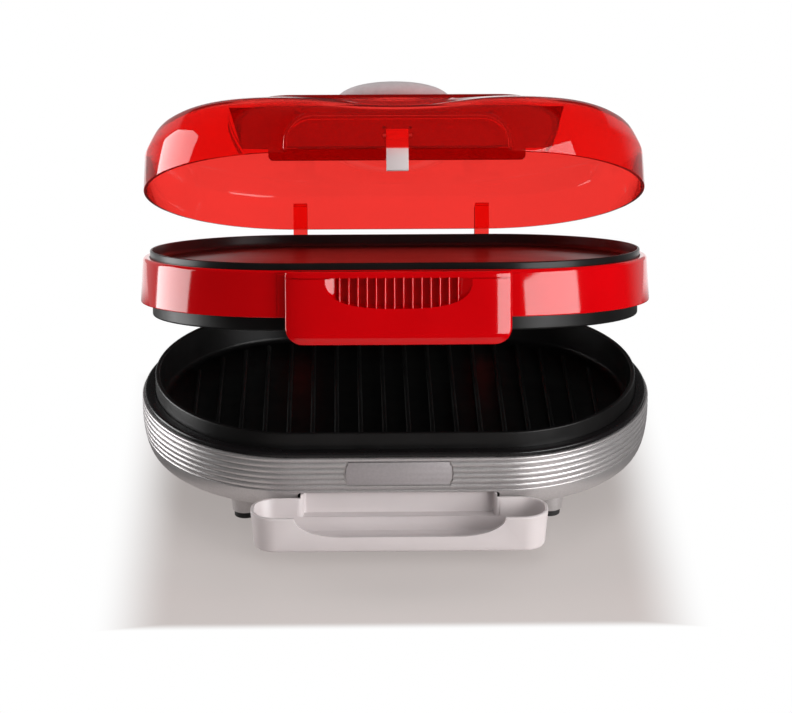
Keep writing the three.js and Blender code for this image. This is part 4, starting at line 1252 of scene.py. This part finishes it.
def lid_shell():
    rim = [(LID_INSET + SMALL_EDGE, 0), (LID_INSET + LID_EDGE_CUT, LID_EDGE_CUT),
           (LID_INSET, SMALL_EDGE)]
    start = LID_INSET + LID_WALL
    inside = [(start, -FAR), (start, LID_WALL_LOW)] + lid_profile(LID_WALL)
    dome = swept("lid", rim + lid_profile(0), "capped", dome_lift, VALLEY_SIDE_STEPS)
    hollow = swept("hollow", inside, "capped", dome_lift, VALLEY_SIDE_STEPS)
    ears = latch_ears()
    joined(dome, bulge(0))
    cut(dome, hollow, bulge(LID_WALL))
    joined(dome, ears)
    dressed(dome, LID, "lid", "lid_shell", CLEAR_RED)


def lid_apron():
    """The inner wall at the front of the lid, whose lower edge lies in the pan when it is shut: its
    darker red tint is painted shade
    """
    y = APRON_INSET - HALF_DEPTH
    outline = rounded(mirrored([
        (APRON_FOOT_HALF, -APRON_DROP, APRON_FOOT_ROUND), (APRON_FOOT_HALF, APRON_FOOT_TOP, 0),
        (APRON_HALF - APRON_LEAN, APRON_FOOT_TOP, APRON_ROUND),
        (APRON_HALF + APRON_LEAN, APRON_TOP, 0),
    ]))
    lip = extruded("lid_lip", outline, y, y + APRON_SHEET, "Y")
    # The darker red tint of this wall is painted shade
    dressed(lip, LID, "lid", None, SHADED_CLEAR_RED)


def lid_cap():
    """A cap of height, length and width one, stretched to its size"""
    foot = lid_profile(0)[-1][1] + GAP
    profile = [(0, 0), (1, 0), (1, 1 / CAP_RISE)]
    for angle in quarter(CAP_STEPS)[1:-1]:
        level = sin(angle) ** CAP_FLAT_SHARE
        profile.append((cos(angle) ** CAP_FLAT_SHARE, (1 + (CAP_RISE - 1) * level) / CAP_RISE))
    profile.append((0, 1))
    cap = turned("cap", profile, "Z", (0, 0, 0), CAP_TURN_STEPS)
    cap.data.transform(Matrix.Diagonal((CAP_HALF_LENGTH, CAP_HALF_WIDTH, CAP_RISE, 1)))
    cap.data.transform(Matrix.Translation((0, 0, foot * MM)))
    dressed(cap, LID, "lid", "lid_cap", CAP_GREY)


def latch_ribs(front):
    """The ribs that a finger grips, across the upper part of the tongue"""
    half = LATCH_WIDTH / 2 - LATCH_CHAMFER
    ribs = []
    for k in range(LATCH_RIBS):
        z = LATCH_TOP - LATCH_RIB_DROP - LATCH_RIB_PITCH * k
        across = (front - LATCH_RIB_RISE, front + LATCH_RIB_SINK)
        ribs.append(block("rib", half, across, (z, z + LATCH_RIB_HEIGHT)))
    return gathered("ribs", ribs)


def lid_latch():
    front, back = LATCH_Y - LATCH_THICKNESS / 2, LATCH_Y + LATCH_THICKNESS / 2
    drop = -LATCH_DROP
    outline = [
        (front, drop + LATCH_CHAMFER), (front + LATCH_CHAMFER, drop), (back, drop),
        (back + LATCH_BARB, drop + LATCH_BARB_HEIGHT / 2), (back, drop + LATCH_BARB_HEIGHT),
        (back, LATCH_TOP), (front, LATCH_TOP),
    ]
    half = LATCH_WIDTH / 2
    middle = (0, LATCH_Y, LATCH_PIN_Z)
    tongue = extruded("latch", outline, -half, half, "X")
    boss = rod("boss", LATCH_BOSS_RADIUS, -half, half, "X", middle)
    bore = rod("bore", LATCH_PIN_RADIUS + GAP, -half - FAR, half + FAR, "X", middle)
    joined(tongue, boss, latch_ribs(front))
    cut(tongue, bore)
    softened(tongue, LATCH_EDGE)
    dressed(tongue, LID, "latch", "lid_latch", PALE)


def latch_pin():
    half = LATCH_WIDTH / 2 + GAP + LATCH_EAR
    middle = (0, LATCH_Y, LATCH_PIN_Z)
    pin = rod("latch_rod", LATCH_PIN_RADIUS, -half, half, "X", middle, FINE_EDGE, FINE_EDGE)
    dressed(pin, LID, "lid", "latch_pin", STEEL)


# The rear hinge
def arm(name, foot, z, from_angle, to_angle, side, inner, outer):
    """An arm from a foot on a wall to a bored boss on the axle"""
    outline = list(foot)
    for i in range(ARM_STEPS + 1):
        angle = from_angle + (to_angle - from_angle) * i / ARM_STEPS
        outline.append((AXLE_Y + BOSS_RADIUS * cos(angle), z + BOSS_RADIUS * sin(angle)))
    low, high = sorted((side * inner, side * outer))
    piece = extruded(name, outline, low, high, "X")
    cut(piece, rod("bore", AXLE_RADIUS + GAP, low - FAR, high + FAR, "X", (0, AXLE_Y, z)))
    softened(piece, ARM_EDGE)
    return piece


def base_bracket(place, side):
    wall = HALF_DEPTH + GAP
    foot = [(wall, BRACKET_FOOT_TOP), (wall, BRACKET_FOOT_TOP - BRACKET_FOOT)]
    piece = arm("bracket_" + place, foot, HINGE.z, -pi / 3, 3 * pi / 4, side,
                BRACKET_INNER, BRACKET_INNER + BRACKET_THICKNESS)
    dressed(piece, BASE, "base", "hinge_bracket_" + place, DULL_BLACK)


def ring_arm(place, side):
    wall = HALF_DEPTH - RING_INSET + GAP
    foot = [(wall, RING_HEIGHT - RING_CHAMFER * 2), (wall, RING_FLANGE_SHEET)]
    piece = arm("ring_arm_" + place, foot, HINGE.z - RING_HEIGHT_CLOSED, -3 * pi / 4,
                pi / 4, side, MIDDLE_ARM_OUTER - MIDDLE_ARM_THICKNESS, MIDDLE_ARM_OUTER)
    dressed(piece, RING, "middle", "middle_hinge_arm_" + place, DULL_BLACK)


def lid_arm(place, side):
    wall = HALF_DEPTH - LID_INSET + GAP
    clear = HALF_DEPTH - RING_INSET + LID_ARM_CLEARANCE
    top = LID_SIDE - LID_INSET
    foot = [(wall + BOSS_RADIUS * 2, top), (wall, top), (wall, LID_INSET),
            (clear, LID_INSET - LID_ARM_TOE)]
    piece = arm("lid_arm_" + place, foot, HINGE.z - LID_HEIGHT_CLOSED, -pi, pi / 6,
                side, LID_ARM_OUTER - LID_ARM_THICKNESS, LID_ARM_OUTER)
    dressed(piece, LID, "lid", "lid_hinge_arm_" + place, CLEAR_RED)


def hinge_axle():
    inner = BRACKET_INNER + BRACKET_THICKNESS + GAP
    outer = inner + AXLE_HEAD_THICKNESS
    profile = rounded([
        (0, -outer, 0), (AXLE_HEAD, -outer, SOFT_EDGE), (AXLE_HEAD, -inner, 0),
        (AXLE_RADIUS, -inner, 0), (AXLE_RADIUS, inner, 0), (AXLE_HEAD, inner, 0),
        (AXLE_HEAD, outer, SOFT_EDGE), (0, outer, 0),
    ])
    axle = turned("axle", profile, "X", (0, AXLE_Y, HINGE.z))
    dressed(axle, BASE, "base", "hinge_axle", STEEL)


def hinge():
    for place, side in (("left", -1), ("right", 1)):
        base_bracket(place, side)
        ring_arm(place, side)
        lid_arm(place, side)
    hinge_axle()


# What keeps the solid's own shape
def carried_over():
    finishes = {
        "lower_heater": STEEL, "lower_heat_shield": SHEET, "lower_thermostat": STEEL,
        "terminal_block": CERAMIC, "cord_gland": RUBBER, "bottom_cover": DULL_BLACK,
        "tray_rail_left": DULL_BLACK, "tray_rail_right": DULL_BLACK,
        "upper_heater": STEEL, "upper_heat_shield": SHEET, "upper_thermal_fuse": CERAMIC,
    }
    finishes.update({name: STEEL for name in frame["nodes"] if "screw" in name})
    for name, finish in finishes.items():
        materials = frame["nodes"][name].data.materials
        materials.clear()
        materials.append(finish)


# The studio, in metres
TABLE_HALF = 0.42
TABLE_FRONT = -0.4
TABLE_BACK = 4.5
FLOOR_COLOR = (0.6, 0.555, 0.54, 1)
FLOOR_ROUGHNESS = 0.45
FLOOR_TONE = (0.64, 0.585, 0.565, 1)
TONE_SHARE = 0.55
WORLD_FILL = 0.35
ROOM_LIGHT = 0.03
EDGE_LIGHT = 1.1
BACKDROP_LIGHT = 0.4

# Where each zone starts and where it is full: to the sides, before, behind or downwards
PATCH_SIDES = (0.14, 0.19)
PATCH_BEFORE = (0.255, 0.267)
PATCH_BEHIND = (0.1, 0.2)
MIRROR_BEFORE = (0.33, 0.37)
EDGE_SIDES = (0.05, 0.13)
EDGE_BEHIND = (0.3, 0.42)
BACKDROP_SIDES = (0.06, 0.18)
BACKDROP_BEHIND = (0.5, 0.85)
BACKDROP_DOWN = (-0.24, -0.19)

# Each lamp's turn from the front, height, distance, width, height, and brightness
LAMPS = {
    "left_box": (-110, 0, 1.3, 0.8, 0.74, 6.4),
    "right_box": (47, 9, 1.3, 1.1, 0.5, 8.4),
    "top_box": (180, 66, 1.9, 1.6, 0.3, 10),
    "front_fill": (8, 62, 2.2, 1.2, 0.6, 1.2),
}
UNSEEN_LAMPS = ("top_box", "front_fill")
LAMP_TARGET = Vector((0, 0, 0.13))

CAMERA_PLACE = (-0.0373, MIDDLE_Y * MM - 2.1023, 0.8375)
CAMERA_TILT = pi / 2 - 0.345
CAMERA_TURN = -0.018
CAMERA_LENS = 151.08
CAMERA_SENSOR = 36


def floor():
    """A pale table: the eye sees a toned patch of it in white, and glossy pieces mirror that
    patch in a dark room with two light edges behind"""
    mesh = bpy.data.meshes.new("floor")
    corners = [(-TABLE_HALF, TABLE_FRONT, 0), (TABLE_HALF, TABLE_FRONT, 0),
               (TABLE_HALF, TABLE_BACK, 0), (-TABLE_HALF, TABLE_BACK, 0)]
    mesh.from_pydata(corners, [], [(0, 1, 2, 3)])
    plane = added("floor", mesh)
    material = bpy.data.materials.new("floor")
    material.use_nodes = True
    tree = material.node_tree
    shader = tree.nodes["Principled BSDF"]
    fill(tree, shader, Base_Color=FLOOR_COLOR, Roughness=FLOOR_ROUGHNESS)
    plain = shader.outputs["BSDF"]
    place = add_node(tree, "NewGeometry").outputs["Position"]
    parts = add_node(tree, "SeparateXYZ", Vector=place).outputs
    x, y = parts["X"], parts["Y"]
    aside = to_sides(tree, x, *PATCH_SIDES)
    behind = eased(tree, y, *PATCH_BEHIND)

    def outside(zone):
        return chained(tree, "MAXIMUM", aside, opposite(tree, y, *zone), behind)

    tone = mixed(tree, TONE_SHARE, plain, emission(tree, FLOOR_TONE))
    seen = mixed(tree, outside(PATCH_BEFORE), tone, emission(tree))
    edges = chained(tree, "MULTIPLY", eased(tree, y, *EDGE_BEHIND), to_sides(tree, x, *EDGE_SIDES))
    room = mixed(tree, edges, emission(tree, strength=ROOM_LIGHT),
                 emission(tree, strength=EDGE_LIGHT))
    surface(tree, by_ray(tree, plain, mixed(tree, outside(MIRROR_BEFORE), tone, room), seen))
    mesh.materials.append(material)


def world():
    """White for the eye, a dark room with two paler places behind for glossy pieces, and a
    plain fill for the rest"""
    scene = bpy.context.scene
    scene.world = bpy.data.worlds.new("studio")
    scene.world.use_nodes = True
    tree = scene.world.node_tree

    def background(strength):
        return add_node(tree, "Background", Color=WHITE, Strength=strength).outputs["Background"]

    place = add_node(tree, "TexCoord").outputs["Generated"]
    parts = add_node(tree, "SeparateXYZ", Vector=place).outputs
    aside = to_sides(tree, parts["X"], *BACKDROP_SIDES)
    under = opposite(tree, parts["Z"], *BACKDROP_DOWN)
    share = chained(tree, "MULTIPLY", aside, under, eased(tree, parts["Y"], *BACKDROP_BEHIND))
    room = mixed(tree, share, background(ROOM_LIGHT), background(BACKDROP_LIGHT))
    surface(tree, by_ray(tree, background(WORLD_FILL), room, background(1)), "World Output")


def lamps():
    for name, (turn, height, distance, across, up, brightness) in LAMPS.items():
        turn, height = radians(turn), radians(height)
        way = Vector((sin(turn) * cos(height), -cos(turn) * cos(height),
                      sin(height)))
        data = bpy.data.lights.new(name, "AREA")
        data.shape = "RECTANGLE"
        data.size, data.size_y = across, up
        data.energy = brightness * pi * across * up
        lamp = added(name, data)
        lamp.location = LAMP_TARGET + way * distance
        lamp.rotation_euler = (-way).to_track_quat("-Z", "Y").to_euler()
        lamp.visible_glossy = name not in UNSEEN_LAMPS
        lamp.visible_transmission = False


def camera():
    data = bpy.data.cameras.new("camera")
    data.lens = CAMERA_LENS
    data.sensor_width = CAMERA_SENSOR
    eye = added("camera", data)
    eye.location = CAMERA_PLACE
    eye.rotation_euler = (CAMERA_TILT, 0, CAMERA_TURN)
    bpy.context.scene.camera = eye


camera()
lamps()
world()
floor()
base_housing()
badge()
base_bezel()
lower_grill_plate()
feet()
drip_tray()
middle_housing()
front_handle()
bun_pan()
upper_grill_plate()
lid_shell()
lid_apron()
lid_cap()
lid_latch()
latch_pin()
hinge()
carried_over()
bpy.context.scene.view_settings.view_transform = "Standard"
